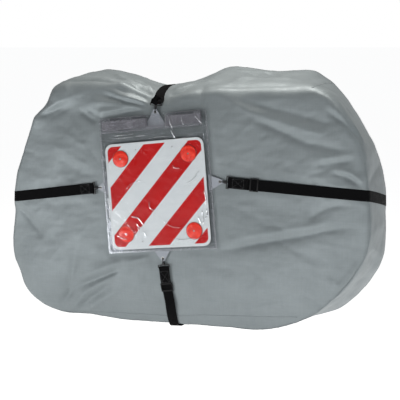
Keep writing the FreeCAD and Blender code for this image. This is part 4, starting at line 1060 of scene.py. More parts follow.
FOLDS = [
    # gathered towards the top strap
    ([(-301, -225, 1158), (-221, -227, 1130), (-163, -211, 1112), (-85, -228, 1086)], 26, 10, 8, 8),
    ([(-302, -226, 1139), (-229, -229, 1113), (-156, -231, 1095), (-94, -234, 1072)], 22, 8, -8, -8),
    ([(-420, 60, 1176), (-330, 0, 1163), (-215, -70, 1141), (-98, -150, 1108)], 30, 10, 9, 9),
    ([(-400, -50, 1170), (-280, -120, 1150), (-183, -156, 1128), (-98, -176, 1103)], 22, 9, -8, -8),
    ([(-254, -230, 1094), (-167, -233, 1075), (-101, -236, 1059)], 22, 9, 8, 7),
    ([(-364, -229, 1100), (-254, -232, 1076), (-170, -235, 1058), (-109, -237, 1047)], 26, 9, -6, -7),
    ([(-437, -232, 1056), (-342, -232, 1065), (-248, -234, 1056), (-113, -238, 1039)], 44, 12, 6, 5),
    ([(-380, 200, 1168), (-280, 110, 1150), (-190, 60, 1136), (-128, 20, 1128)], 34, 12, 7, 7),
    ([(-40, -150, 1112), (30, -120, 1140), (110, -90, 1160), (190, -80, 1176)], 12, 30, 7, 6),
    ([(-35, -90, 1122), (40, -40, 1146), (120, 0, 1168)], 12, 26, -7, -5),
    ([(-60, 60, 1136), (30, 90, 1160), (110, 120, 1188)], 14, 30, 7, 5),
    ([(-20, -232, 1098), (60, -232, 1106), (130, -230, 1112)], 12, 22, 5, 4),
    # creases above the pocket's left corner
    ([(-474, -234, 1024), (-424, -239, 990), (-368, -243, 963)], 16, 24, -9, -7),
    ([(-436, -234, 1030), (-398, -237, 1009), (-363, -240, 993)], 13, 18, -7, -7),
    ([(-371, -240, 986), (-308, -239, 1004), (-244, -239, 1016), (-123, -238, 1038)], 16, 10, -7, -6),
    ([(-377, -238, 1004), (-309, -238, 1019), (-236, -237, 1031)], 22, 14, 7, 6),
    # left shoulder
    ([(-717, -235, 971), (-659, -234, 999), (-598, -232, 1024), (-543, -231, 1044)], 15, 24, -8, -7),
    ([(-686, -233, 1000), (-599, -231, 1042), (-534, -229, 1070), (-481, -228, 1092)], 28, 36, 6, 5),
    ([(-625, -236, 980), (-576, -234, 1006), (-529, -233, 1032)], 14, 18, -6, -5),
    ([(-567, -225, 1150), (-545, -226, 1124), (-524, -228, 1091)], 26, 32, 7, 3),
    # broad soft diagonals on the left
    ([(-553, -243, 915), (-486, -249, 878), (-413, -254, 842)], 50, 60, 6, 6),
    ([(-586, -254, 785), (-516, -260, 756), (-444, -265, 724)], 45, 55, -6, -5),
    ([(-640, -244, 876), (-573, -250, 836), (-473, -259, 783), (-375, -265, 749)], 60, 70, 6, 6),
    # long soft diagonals on the right
    ([(309, -237, 1089), (417, -240, 1070), (567, -244, 1039), (699, -245, 1008), (797, -242, 985)], 48, 62, -9, -8),
    ([(250, -234, 1101), (386, -244, 1043), (528, -250, 998), (665, -250, 963), (777, -247, 932)], 40, 55, 7, 6),
    ([(376, -248, 1016), (509, -254, 967), (645, -255, 912), (730, -252, 898), (853, -243, 873)], 34, 50, -9, -8),
    # right shoulder
    ([(675, -130, 1152), (735, -60, 1108), (778, -10, 1058)], 20, 15, -9, -9),
    ([(742, -190, 1102), (792, -110, 1050), (822, -40, 1000)], 20, 15, -8, -9),
    ([(729, -238, 1061), (783, -240, 1022), (843, -239, 983), (886, -200, 932)], 26, 14, -7, -13),
    ([(753, -236, 1075), (808, -237, 1039), (858, -215, 990), (893, -170, 930)], 26, 17, 6, 8),
    ([(885, -215, 936), (897, -140, 915), (900, -60, 885)], 13, 16, 8, 5),
    # above the right strap
    ([(697, -260, 808), (779, -252, 826), (871, -243, 844)], 34, 26, -8, -7),
    ([(705, -257, 837), (784, -250, 853), (870, -242, 869)], 36, 30, 5, 5),
    ([(763, -256, 781), (822, -251, 771), (857, -248, 755), (887, -245, 726)], 20, 14, -9, -10),
    ([(777, -254, 793), (834, -249, 787), (874, -245, 764), (905, -242, 739)], 22, 16, 7, 8),
    # beside the pocket's right edge
    ([(133, -142, 1149), (151, -234, 1099), (136, -241, 1044)], 20, 12, -8, -6),
    ([(178, -236, 1086), (209, -254, 952), (236, -263, 862), (250, -273, 772)], 22, 16, 5, 4),
    # below the left strap
    ([(-813, -255, 532), (-752, -265, 479), (-691, -275, 421), (-660, -282, 380)], 18, 28, -11, -7),
    ([(-800, -255, 569), (-723, -266, 508), (-651, -278, 445), (-598, -287, 395)], 22, 34, 6, 5),
    ([(-776, -259, 534), (-669, -275, 453), (-586, -291, 357)], 26, 40, -6, -5),
    # fan from the lower left corner
    ([(-453, -305, 171), (-384, -311, 204), (-307, -315, 240), (-221, -314, 283)], 32, 22, -10, -11),
    ([(-450, -309, 207), (-383, -313, 244), (-307, -313, 278), (-213, -312, 315)], 40, 28, 7, 6),
    ([(-528, -255, 28), (-463, -288, 100), (-403, -305, 157), (-261, -315, 240)], 14, 30, 6, 7),
    ([(-484, -259, 34), (-420, -287, 94), (-349, -304, 146), (-262, -314, 210)], 13, 30, -8, -9),
    ([(-433, -264, 40), (-365, -288, 94), (-303, -301, 134), (-223, -312, 182)], 14, 28, 7, 5),
    ([(-570, -255, 30), (-524, -295, 142), (-493, -307, 248), (-478, -299, 367)], 16, 40, -6, -5),
    ([(-600, -260, 44), (-543, -282, 96), (-477, -301, 158), (-401, -311, 202)], 20, 30, -6, -6),
    ([(-214, -313, 302), (-141, -311, 330), (-69, -310, 355)], 14, 12, 4, 3),
    # lower right
    ([(253, -311, 399), (443, -304, 450), (624, -288, 491), (771, -268, 528), (875, -251, 541)], 36, 30, -10, -9),
    ([(258, -307, 439), (446, -300, 489), (636, -284, 531), (789, -264, 568)], 50, 40, 5, 5),
    ([(664, -279, 565), (739, -268, 617), (826, -255, 650)], 34, 26, -7, -5),
    ([(809, -271, 226), (854, -261, 277), (887, -252, 325), (915, -245, 381)], 17, 14, -10, -12),
    ([(790, -275, 244), (832, -266, 292), (869, -256, 343), (898, -249, 389)], 22, 18, 6, 7),
    ([(930, -174, 411), (924, -45, 362), (914, 124, 301)], 16, 14, -9, -8),
    ([(938, -183, 447), (933, -24, 394), (925, 164, 330)], 14, 12, 7, 6),
    ([(250, -300, 109), (384, -312, 152), (523, -311, 194), (663, -297, 228)], 20, 32, -6, -7),
    ([(722, -284, 171), (765, -279, 197), (799, -219, 199)], 18, 14, -7, -7),
    # right hump: a shelf just behind the front ridge, small rucks behind it
    ([(205, -188, 1148), (300, -188, 1162), (400, -188, 1164), (500, -188, 1166), (590, -185, 1166)], 36, 36, -10, -8),
    ([(225, -60, 1182), (330, -60, 1184), (440, -60, 1186), (560, -60, 1180)], 46, 50, 9, 9),
    ([(275, 95, 1195), (340, 45, 1186), (426, -57, 1177)], 14, 13, -8, -6),
    ([(322, 157, 1198), (385, 112, 1191), (471, -4, 1184)], 13, 13, -7, -6),
    ([(192, 148, 1206), (275, 143, 1200), (369, 168, 1196)], 16, 18, 7, 6),
    # left gusset, taut between its corners
    ([(-640, -150, 1090), (-655, 0, 1075), (-662, 150, 1082)], 30, 34, -8, -7),
    ([(-770, -200, 860), (-776, -20, 842), (-772, 170, 850)], 26, 34, -9, -7),
    ([(-800, -150, 760), (-806, 30, 745), (-796, 190, 738)], 30, 26, 6, 6),
    ([(-842, -190, 500), (-846, -60, 470), (-838, 120, 452)], 24, 34, -9, -8),
    ([(-842, -200, 430), (-844, -40, 395), (-832, 160, 380)], 30, 30, 7, 7),
    ([(-825, -160, 250), (-826, 20, 238), (-812, 190, 250)], 30, 34, -8, -8),
    ([(-745, -180, 96), (-744, 20, 90), (-736, 190, 100)], 30, 30, 7, 7),
    # right gusset
    ([(934, -200, 640), (938, -60, 652), (930, 130, 668)], 22, 32, -8, -7),
    ([(928, -180, 745), (924, 0, 760), (912, 180, 770)], 26, 34, -8, -7),
    ([(905, -120, 860), (890, 60, 850), (872, 200, 838)], 30, 34, 7, 6),
    ([(935, -190, 520), (938, 0, 505), (930, 190, 480)], 26, 34, 7, 7),
    ([(880, -190, 255), (885, 0, 246), (890, 180, 232)], 28, 32, -9, -8),
    ([(800, -170, 180), (812, 20, 160), (838, 180, 150)], 30, 30, 7, 7),
]


def random_folds():
    """More folds on the back, placed by a seeded draw, most of them fanning from the straps' crossing and the shoulders."""
    r = np.random.RandomState(23)
    out = []
    cx, cz = -40.0, 581.0
    for k in range(22):
        a = r.uniform(0, 2 * np.pi)
        r0, r1 = r.uniform(60, 240), r.uniform(300, 620)
        bend = r.uniform(-0.22, 0.22)
        pts = []
        for q in np.linspace(0, 1, 4):
            rr = r0 + (r1 - r0) * q
            x, z = cx + rr * math.cos(a + bend * q) * 1.25, cz + rr * math.sin(a + bend * q) * 0.85
            if -760 < x < 840 and 60 < z < 1080:
                pts.append((x, float(back_y(x, z)), z))
        if len(pts) >= 3:
            s = 1 if r.rand() < 0.5 else -1
            out.append((pts, r.uniform(16, 26), r.uniform(30, 55), s * r.uniform(4, 8), s * r.uniform(3, 7)))
    for x0, z0, sx in ((-600, 1060, 1), (640, 1090, -1), (-700, 140, 1), (760, 170, -1), (120, 1120, 1), (-330, 1100, 1)):
        for k in range(3):
            a = r.uniform(0.2, 1.3) * (1 if z0 < 500 else -1)
            L = r.uniform(240, 460)
            pts = []
            for q in np.linspace(0.05, 1, 4):
                x, z = x0 + sx * L * q * math.cos(a), z0 + L * q * math.sin(a) + 20 * math.sin(3 * q)
                pts.append((x, float(back_y(x, z)), z))
            s = 1 if r.rand() < 0.5 else -1
            out.append((pts, r.uniform(12, 18), r.uniform(26, 44), s * r.uniform(5, 9), s * r.uniform(3, 6)))
    return out


D = np.zeros(NV)
for pts_, a_, b_, c_, d_ in FOLDS:
    x_, z_ = pts_[1][0], pts_[1][2]
    g_ = 2.1 if (x_ < 0 and z_ > 1040) else 1.8 if (x_ < -60 and z_ < 340) else 1.2
    q_ = 0.8 if g_ > 2 else 0.92
    if x_ > 240 and pts_[1][1] < -150:
        g_, q_ = 1.3, 0.76
    elif g_ == 1.8:
        q_ = 0.78
    D += fold_field(PS, pts_, q_ * a_, q_ * b_, g_ * c_, g_ * d_, (False, False), 1.1)
# crisp edges of the cloth drawn up under the top strap
CRISP = [
    ([(-98, -203, 1086), (-155, -189, 1106), (-205, -192, 1125), (-260, -194, 1147), (-306, -194, 1155)], 8, 14, 8, 9),
    ([(-295, -195, 1154), (-364, -192, 1159), (-434, -187, 1161), (-512, -192, 1157), (-585, -185, 1143)], 15, 16, -13, -10),
    ([(-300, -168, 1160), (-364, -162, 1166), (-434, -160, 1168), (-512, -160, 1163)], 18, 20, 10, 7),
    ([(-103, -228, 1055), (-165, -227, 1075), (-226, -233, 1086), (-320, -228, 1100)], 8, 15, 8, 8),
    ([(-104, -152, 1109), (-177, -123, 1132), (-242, -105, 1150), (-323, -61, 1165), (-420, 60, 1181)], 10, 18, 9, 10),
    ([(-116, -92, 1121), (-185, -81, 1147), (-284, -20, 1171), (-420, 130, 1181)], 14, 24, -14, -14),
    ([(-104, -217, 1072), (-169, -211, 1097), (-240, -210, 1118), (-315, -214, 1128)], 8, 15, -8, -8),
    ([(-96, -182, 1098), (-166, -166, 1113), (-225, -158, 1137)], 8, 13, -9, -8),
    ([(-55, -151, 1114), (7, -141, 1129), (47, -102, 1146), (60, 40, 1168)], 9, 16, 8, 7),
    ([(-28, -198, 1100), (23, -204, 1110), (74, -180, 1132)], 9, 15, -8, -7),
    ([(-663, -229, 1006), (-599, -233, 1049), (-530, -237, 1082), (-459, -230, 1108)], 12, 14, 8, 7),
    ([(-650, -232, 990), (-585, -236, 1030), (-515, -239, 1062)], 13, 15, -8, -7),
    ([(-389, -238, 1011), (-338, -241, 1021), (-275, -242, 1028), (-215, -239, 1039)], 11, 11, 7, 6),
]
for f in CRISP:
    D += fold_field(PS, *f, (False, False), 1.1)
for f in random_folds():
    D += fold_field(PS, *f)

# gentle unevenness everywhere, with a finer slanted crumple
D += 2.0 * waves(PS, 330.0, 11)
D += 0.6 * waves(PS * np.array([1.0, 1.0, 1.5]), 120.0, 12)
D += 0.35 * waves(PS @ np.array([[1.0, 0, 0.5], [0, 1.0, 0], [-0.5, 0, 1.6]]).T, 55.0, 13)

# many small creases that follow the pull away from the pocket
r_ = np.random.RandomState(41)
for k in range(150):
    left = k % 6 == 0
    x, z = (r_.uniform(-800, -380), r_.uniform(120, 1040)) if left else (r_.uniform(270, 860), r_.uniform(140, 1080))
    if k % 10 == 1:
        x, z = r_.uniform(-330, 250), r_.uniform(60, 330)
    ox, oz = (-330.0, 690.0) if left else (250.0, 640.0)
    g = math.atan2(z - oz, x - ox) * 0.75 + (0 if not left else (math.pi if z >= oz else -math.pi) * 0.25) + r_.uniform(-0.3, 0.3)
    L, bend = r_.uniform(60, 190), r_.uniform(-0.25, 0.25)
    pts = []
    for q in (-0.5, 0.0, 0.5):
        px, pz = x + L * q * math.cos(g + bend * q), z + L * q * math.sin(g + bend * q)
        pts.append((px, float(front_y(np.float64(px), np.float64(pz))), pz))
    w_, h_ = r_.uniform(7, 14), r_.uniform(0.7, 1.9) * (1 if r_.rand() < 0.5 else -1)
    D += fold_field(PS, pts, w_, w_ * 1.4, h_, h_, (False, False), 1.35)

# the cloth bears on what is inside at the shoulders, and is drawn tight between them
u_, v_, n_ = to_uvn(PS)
front = PS[:, 1] < -150
zone = smooth01((300 - np.abs(u_ + 2)) / 26.0) * smooth01((v_ + 300) / 26.0) * smooth01((398 - v_) / 26.0) * front
D = D * (1 - 0.9 * zone)
D = np.where(zone > 0.02, np.minimum(D, 0.9 + (1 - zone) * 9.0), D)

# held down under the webbing, puckered beside it
mask = smooth01((d_strap - 27.0) / 40.0)
mask_t = smooth01((d_tight - 36.0) / 40.0)
pucker = waves(PS, 46.0, 31, 22) * np.exp(-np.maximum(d_strap - 27.0, 0) / 26.0) * smooth01((d_strap - 26.0) / 10.0)
D = D * mask * mask_t + 1.7 * pucker * mask_t * (1 - zone)
D -= 1.1 * np.exp(-(d_strap / 24.0) ** 2) * (1 - mask)
D -= 2.2 * np.exp(-(d_tight / 34.0) ** 2)
D = np.clip(D, -22, 20)
# corners where something inside pushes the cloth out, or leaves it slack
for x_, y_, z_, h_, r__ in ((-614, -192, 1104, 24, 60), (-712, -218, 978, 12, 50), (750, 31, 111, 19, 100), (905, 150, 290, 18, 90),
                            (-814, -259, 204, -9, 60), (34, 60, 1165, -14, 70)):
    D += h_ * np.exp(-((PS - np.array([x_, y_, z_])) ** 2).sum(1) / r__ ** 2)

# underside: gathers run in from the elasticated edge
kd2 = kdtree.KDTree(NH)
for q, p in enumerate(hole):
    kd2.insert((p[0], p[1], 0), q)
kd2.balance()


def ruffle(s):
    """Gathers of the elasticated hem along the slot."""
    return (np.sin(2 * np.pi * s / 25.75 + 1.1 * np.sin(2 * np.pi * s / 206.0)) + 0.45 * np.sin(2 * np.pi * s / 14.72 + 1.9)
            + 0.3 * np.sin(2 * np.pi * s / 58.9))


und = np.concatenate([np.arange(oH, oH + NH), np.arange(oU, oU + len(PU))])
dh = np.zeros(len(und))
sh = np.zeros(len(und))
for q, vi in enumerate(und):
    co, ix, dd = kd2.find((PS[vi][0], PS[vi][1], 0))
    dh[q], sh[q] = dd, hole_s[ix]
# folds are cut to 0.4 and fade out at the edge; the hem's ruffle dies away from the edge
D[und] = D[und] * smooth01(dh / 60.0) * 0.4 + 3.6 * ruffle(sh) * np.exp(-(dh / 34.0)) * mask[und]
D = relax1(D, 2, 0.45)
PD = PS + NS * D[:, None]
PD = relax(PD, np.where(hole_mask, 0.0, 1.0), 1, 0.35)
NDm = vert_normals(PD)
bvh = BVHTree.FromPolygons((PD).tolist(), TRI.tolist())


def snap(p, lift=0.0):
    loc, nrm, idx, dist = bvh.find_nearest(Vector(p))
    a = TRI[idx]
    w = 1.0 / (np.linalg.norm(PD[a] - np.array(loc), axis=1) + 1e-3)
    n = unit((NDm[a] * w[:, None]).sum(0))
    return np.array(loc) + n * lift, n


# =====================================================================
# panels as closed sheets
# =====================================================================
THICK = 1.5


def panel_object(name, facesets, uvs, mat, inner, node, flat, area_):
    faces = [tuple(f) for fs in facesets for f in fs]
    ids = np.unique(np.concatenate([fs.ravel() for fs in facesets]))
    loc = {v: k for k, v in enumerate(ids)}
    n = len(ids)
    outer = PD[ids]
    nor = NDm[ids]
    V = np.concatenate([outer, outer - nor * THICK])
    N = np.concatenate([nor, -nor])
    F1 = [tuple(loc[v] for v in f) for f in faces]
    F2 = [tuple(loc[v] + n for v in f[::-1]) for f in faces]
    seen = set()
    for f in F1:
        for a, b in zip(f, f[1:] + f[:1]):
            seen.add((a, b))
    rim = [(b, a, a + n, b + n) for a, b in seen if (b, a) not in seen]
    rim.sort()
    o = mesh_piece(name, V, F1 + F2 + rim, "cover", mat, np.concatenate([uvs[ids], uvs[ids]]), True, N)
    o.data.materials.append(inner)
    mi = np.zeros(len(o.data.polygons), np.int32)
    mi[len(F1):len(F1) + len(F2)] = 1
    o.data.polygons.foreach_set("material_index", mi)
    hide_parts(node)
    a = PD[np.concatenate([np.concatenate([fs[:, [0, 1, 2]], fs[:, [0, 2, 3]]]) if fs.shape[1] == 4 else fs for fs in facesets])]
    real = float(np.linalg.norm(np.cross(a[:, 1] - a[:, 0], a[:, 2] - a[:, 0]), axis=1).sum() / 2 * 1e-6)
    print("panel", name, "area", round(real, 3), "flat", flat, area_)
    return o


uv_xz = PD[:, [0, 2]] * MM
uv_xy = PD[:, [0, 1]] * MM
arc = np.concatenate([[0], np.cumsum(np.linalg.norm(np.diff(G[:, NT // 2], axis=0), axis=1))])
uv_g = np.zeros((NV, 2))
uv_g[:nG, 0] = np.repeat(arc[:NI], NT + 1) * MM
uv_g[:nG, 1] = tt_v[:nG] * 0.49

M_INNER = cover_cloth("cover_inner_coating", (0.20, 0.212, 0.215), (0.155, 0.166, 0.169), 0.05, 0.6)
front_panel = panel_object("cover_front", [facesF], uv_xz, M_COVER, M_INNER, "front_panel", (1.86, 1.24), 1.86)
back_panel = panel_object("cover_back", [facesB], uv_xz, M_COVER, M_INNER, "back_panel", (1.84, 1.26), 1.90)


def part_of(i0, i1):
    return quads[(quad_i >= i0 * 10) & (quad_i < i1 * 10)]


gus_r = panel_object("cover_side_right", [part_of(RIGHT0, TOP0)], uv_g, M_SIDE, M_INNER, "gusset_right", (1.34, 0.52), 0.66)
gus_t = panel_object("cover_top", [part_of(TOP0, LEFT0)], uv_g, M_SIDE, M_INNER, "gusset_top", (1.42, 0.53), 0.70)
gus_l = panel_object("cover_side_left", [part_of(LEFT0, NST)], uv_g, M_SIDE, M_INNER, "gusset_left", (1.36, 0.52), 0.67)
under = panel_object("cover_underside", [facesU], uv_xy, M_SIDE, M_INNER, "underside_panel", (1.32, 0.52), 0.42)

# =====================================================================
# ribbons: webbing, tapes, laps
# =====================================================================


def smooth_rows(A, times, fixed=1, closed=False):
    A = np.array(A, float)
    for _ in range(times):
        if closed:
            A = A * 0.5 + 0.25 * (np.roll(A, 1, 0) + np.roll(A, -1, 0))
        else:
            B = A.copy()
            B[1:-1] = A[1:-1] * 0.5 + 0.25 * (A[:-2] + A[2:])
            B[:fixed], B[len(B) - fixed:] = A[:fixed], A[len(A) - fixed:]
            A = B
    return A


def resample(P, step, *others):
    """Evenly spaced points along a polyline, with other rows interpolated along it."""
    P = np.asarray(P, float)
    s = np.concatenate([[0], np.cumsum(np.linalg.norm(np.diff(P, axis=0), axis=1))])
    n = max(2, int(round(s[-1] / step)) + 1)
    q = np.linspace(0, s[-1], n)
    out = [np.stack([np.interp(q, s, P[:, k]) for k in range(3)], 1)]
    for o in others:
        o = np.asarray(o, float)
        out.append(np.stack([np.interp(q, s, o[:, k]) for k in range(o.shape[1])], 1) if o.ndim == 2 else np.interp(q, s, o))
    return out


def frames(P, N, closed=False):
    T = np.roll(P, -1, 0) - np.roll(P, 1, 0)
    if not closed:
        T[0], T[-1] = P[1] - P[0], P[-1] - P[-2]
    T = unit(T)
    W = unit(np.cross(N, T))
    return T, W, np.cross(T, W)


def web_section(width, thick, n=11, selvedge=0.12):
    """Rounded flat section (across, through), anticlockwise."""
    h, t = width / 2.0, thick / 2.0
    top = [(a, t + selvedge * math.exp(-((abs(a) - (h - 1.6)) / 1.1) ** 2)) for a in np.linspace(h - 0.45 * thick, -h + 0.45 * thick, n)]
    side = [(-h + 0.1 * thick, 0.55 * t), (-h, 0.0), (-h + 0.1 * thick, -0.55 * t)]
    bot = [(-a, -b) for a, b in top]
    side2 = [(-a, -b) for a, b in side]
    return top + side + bot + side2


def ribbon_arrays(P, N, section, closed=False, u0=0.0, lift=None):
    T, W, N2 = frames(P, N, closed)
    sec = np.array(section)
    m = len(sec)
    V = P[:, None] + W[:, None] * sec[None, :, 0:1] + N2[:, None] * sec[None, :, 1:2]
    s = np.concatenate([[0], np.cumsum(np.linalg.norm(np.diff(P, axis=0), axis=1))]) * MM + u0
    UV = np.stack([np.repeat(s, m), np.tile(sec[:, 0] * MM, len(P))], 1)
    F = []
    n = len(P)
    for i in range(n if closed else n - 1):
        for k in range(m):
            a, b = i * m + k, i * m + (k + 1) % m
            c, d = ((i + 1) % n) * m + (k + 1) % m, ((i + 1) % n) * m + k
            F.append((a, d, c, b))
    if not closed:
        F.append(tuple(range(m)))
        F.append(tuple((n - 1) * m + k for k in range(m - 1, -1, -1)))
    return V.reshape(-1, 3), F, UV


def fix_outward(o):
    bm = bmesh.new()
    bm.from_mesh(o.data)
    bmesh.ops.recalc_face_normals(bm, faces=bm.faces)
    bm.to_mesh(o.data)
    bm.free()
    return o


def join_arrays(parts):
    V, F, U, at = [], [], [], 0
    for v, f, u in parts:
        V.append(v)
        U.append(u)
        F += [tuple(i + at for i in q) for q in f]
        at += len(v)
    return np.concatenate(V), F, np.concatenate(U)


def stitches(lines, pitch=3.6, length=2.7, radius=0.32, sides=5, lift=0.12):
    """Small sewn threads along lines of (points, normals)."""
    parts = []
    for P, N in lines:
        P, N = resample(P, 1.2, N)
        s = np.concatenate([[0], np.cumsum(np.linalg.norm(np.diff(P, axis=0), axis=1))])
        for c in np.arange(pitch / 2, s[-1], pitch):
            a = np.array([np.interp(c - length / 2, s, P[:, k]) for k in range(3)])
            b = np.array([np.interp(c + length / 2, s, P[:, k]) for k in range(3)])
            n = unit(np.array([np.interp(c, s, N[:, k]) for k in range(3)]))
            t = unit(b - a)
            w = np.cross(n, t)
            rows = []
            for q, (rr, dn) in ((0.0, (0.45, -0.25)), (0.22, (1.0, 0.05)), (0.78, (1.0, 0.05)), (1.0, (0.45, -0.25))):
                cc = a + (b - a) * q + n * (lift + dn * radius * 2)
                rows.append([cc + (w * math.cos(2 * math.pi * k / sides) + n * math.sin(2 * math.pi * k / sides)) * radius * rr
                             for k in range(sides)])
            V = np.array(rows).reshape(-1, 3)
            F = [(r * sides + k, r * sides + (k + 1) % sides, (r + 1) * sides + (k + 1) % sides, (r + 1) * sides + k)
                 for r in range(3) for k in range(sides)]
            F += [tuple(range(sides - 1, -1, -1)), tuple(3 * sides + k for k in range(sides))]
            parts.append((V, F, np.zeros((len(V), 2))))
    return join_arrays(parts)


# =====================================================================
# straps
# =====================================================================
WEB_W, WEB_T = 50.0, 1.6
HALF = WEB_T / 2


def strap_rows(route, hook0, hook1):
    """Route points put on the cloth, with normals, evenly spaced and smoothed."""
    P, N, S = [], [], []
    for p, snp, lift in route:
        p = np.array(p, float)
        if snp:
            q, n = snap(p, HALF + 0.75 + lift)
        else:
            q = p
            if p[2] < 8.0 and abs(p[1]) < 262:
                a = smooth01((abs(p[1]) - 205.0) / 45.0)
                n = unit([0.0, (1 if p[1] > 0 else -1) * 1.3 * a, -1.0 + 0.65 * a])
            elif abs(to_uvn(p)[0]) < 700 and p[2] > 100:
                n = unit(front_normal(p[0], p[2]))
                if min(np.linalg.norm(p - HF[hook0][0]), np.linalg.norm(p - HF[hook1][0])) < 62:
                    n = SN
            else:
                n = unit(front_normal(p[0], p[2]))
        P.append(q)
        N.append(n)
        S.append(float(bool(snp)))
    P, N, S = resample(P, 5.5, N, S)
    P = smooth_rows(P, 3, 6)
    N = unit(smooth_rows(N, 12, 2))
    # never into the cloth: check the middle and both edges of each row
    for it in range(3):
        T, W, N2 = frames(P, N)
        push = np.zeros(len(P))
        for i in np.where(S > 0.5)[0]:
            for a in (-23.0, -12.0, 0.0, 12.0, 23.0):
                c = P[i] + W[i] * a
                loc, nrm, idx, dist = bvh.ray_cast(Vector(c + N2[i] * 14.0), Vector(-N2[i]), 26.0)
                if loc is not None:
                    h = dist - 14.0          # how far the cloth lies below the row's middle plane
                    push[i] = max(push[i], HALF + 0.35 - h)
        push = np.minimum(push, 6.0)
        pk = push.copy()
        for _ in range(4):
            pk = np.maximum(push, 0.25 * np.roll(pk, 1) + 0.5 * pk + 0.25 * np.roll(pk, -1))
        pk[:4] = 0
        pk[-4:] = 0
        P = P + N2 * pk[:, None]
        P = smooth_rows(P, 1, 6)
    return P, N


def loop_rows(name):
    """Webbing round the bar of a hook's base, from the outer layer to the inner, in the hook's own frame."""
    pts = [(-26.0, 0.95), (-22.0, 1.0), (-19.5, 1.55), (-17.6, 2.75), (-15.8, 3.5), (-13.4, 3.62), (-11.0, 3.55)]
    for g in np.linspace(90, 0, 6)[1:]:
        pts.append((-11.0 + 3.0 * math.cos(math.radians(g)), 0.55 + 3.0 * math.sin(math.radians(g))))
    for g in np.linspace(0, -90, 6):
        pts.append((-11.0 + 3.0 * math.cos(math.radians(g)), -0.55 + 3.0 * math.sin(math.radians(g))))
    pts += [(-13.4, -3.62), (-15.8, -3.5), (-17.6, -2.75), (-19.5, -1.55)]
    P = np.array([lp(name, x, 0, z) for x, z in pts])
    T = np.gradient(np.array(pts), axis=0)
    T /= np.linalg.norm(T, axis=1)[:, None]
    o, ax, wy = HF[name]
    # the strap's outer face: to the left of travel, seen with x along the hook and z out
    N = np.array([ax * -t[1] + SN * t[0] for t in T])
    return P, N


def add_end(P, N, name, tail):
    """Put the sewn loop and its tail before the first row of a strap."""
    s = np.concatenate([[0], np.cumsum(np.linalg.norm(np.diff(P, axis=0), axis=1))])
    k = int(np.searchsorted(s, tail))
    r = np.linspace(0, 1, k)
    gap = np.where(s[:k] < 36, 1.9, 1.72)
    Tp, Tn = (P[:k] + N[:k] * gap[:, None])[::-1], N[:k][::-1]
    LP, LN = loop_rows(name)
    # the tail runs back towards the hook with its outer face out; the loop turns it under, so its face normal flips
    Pa = np.concatenate([Tp[:-1], LP])
    Na = np.concatenate([Tn[:-1], LN])
    return Pa, Na, (Tp, Tn)


def make_strap(name, node, route, h0, h1, tail0, tail1):
    P, N = strap_rows(route, h0, h1)
    Pa, Na, t0 = add_end(P, N, h0, tail0)
    Pb, Nb, t1 = add_end(P[::-1], N[::-1], h1, tail1)
    # along the loop the outer face turns under: the run from the loop on has its face normal reversed
    A = np.concatenate([Pa, P[1:-1], Pb[::-1]])
    B = np.concatenate([Na, -N[1:-1], Nb[::-1]])
    V, F, U = ribbon_arrays(A, B, web_section(WEB_W, WEB_T))
    o = mesh_piece(name, V, F, "cover", M_WEB, U)
    fix_outward(o)
    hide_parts(node)
    return o, P, N, t0, t1


strap_h, PHs, NHs, tL, tR = make_strap("strap_horizontal_web", "strap_horizontal", RH, "left", "right", 62, 86)
strap_v, PVs, NVs, tT, tB = make_strap("strap_vertical_web", "strap_vertical", RV, "top", "bottom", 48, 70)


def on_tail(tail, s_along, a):
    """Point on the outer face of a sewn tail: distance from the hook end, distance across."""
    P, N = tail[0][::-1], tail[1][::-1]
    s = np.concatenate([[0], np.cumsum(np.linalg.norm(np.diff(P, axis=0), axis=1))])
    c = np.array([np.interp(s_along, s, P[:, k]) for k in range(3)])
    c2 = np.array([np.interp(s_along + 2, s, P[:, k]) for k in range(3)]) if s_along + 2 < s[-1] else \
        c + (c - np.array([np.interp(s_along - 2, s, P[:, k]) for k in range(3)]))
    n = unit(np.array([np.interp(s_along, s, N[:, k]) for k in range(3)]))
    t = unit(c2 - c)
    return c + np.cross(n, t) * a + n * HALF, n


sew = []
for tail, L, kind in ((tL, 58, "box"), (tR, 66, "box"), (tT, 44, "bar"), (tB, 66, "box")):
    rows = []
    if kind == "box":
        for y in (-20.0, 20.0):
            rows.append([(x, y) for x in np.linspace(8, L - 5, 14)])
        for x in (8.0, L - 5.0):
            rows.append([(x, y) for y in np.linspace(-20, 20, 14)])
        rows.append([(8 + (L - 13) * q, -20 + 40 * q) for q in np.linspace(0, 1, 16)])
        rows.append([(8 + (L - 13) * q, 20 - 40 * q) for q in np.linspace(0, 1, 16)])
    else:
        rows.append([(10.0, y) for y in np.linspace(-22, 22, 14)])
        rows.append([(13.0, y) for y in np.linspace(-22, 22, 14)])
        rows.append([(L - 6.0, y) for y in np.linspace(-22, 22, 14)])
    for r in rows:
        pn = [on_tail(tail, x, y) for x, y in r]
        sew.append((np.array([p for p, n in pn]), np.array([n for p, n in pn])))
V, F, U = stitches(sew, 3.4, 2.7, 0.42)
sew_o = mesh_piece("strap_stitching", V, F, "cover", M_THREAD_B)


# =====================================================================
# sliders, with rounded edges
# =====================================================================


def rounded_bar(x0, x1, y0, y1, z0, z1, r=0.8, seg=2):
    bm = bmesh.new()
    bmesh.ops.create_cube(bm, size=1.0)
    for v in bm.verts:
        v.co = Vector((x0 + (v.co.x + 0.5) * (x1 - x0), y0 + (v.co.y + 0.5) * (y1 - y0), z0 + (v.co.z + 0.5) * (z1 - z0)))
    bmesh.ops.bevel(bm, geom=list(bm.edges), offset=r, segments=seg, profile=0.6, affect="EDGES")
    me = bpy.data.meshes.new("bar")
    bm.to_mesh(me)
    bm.free()
    return bpy.data.objects.new("bar", me)


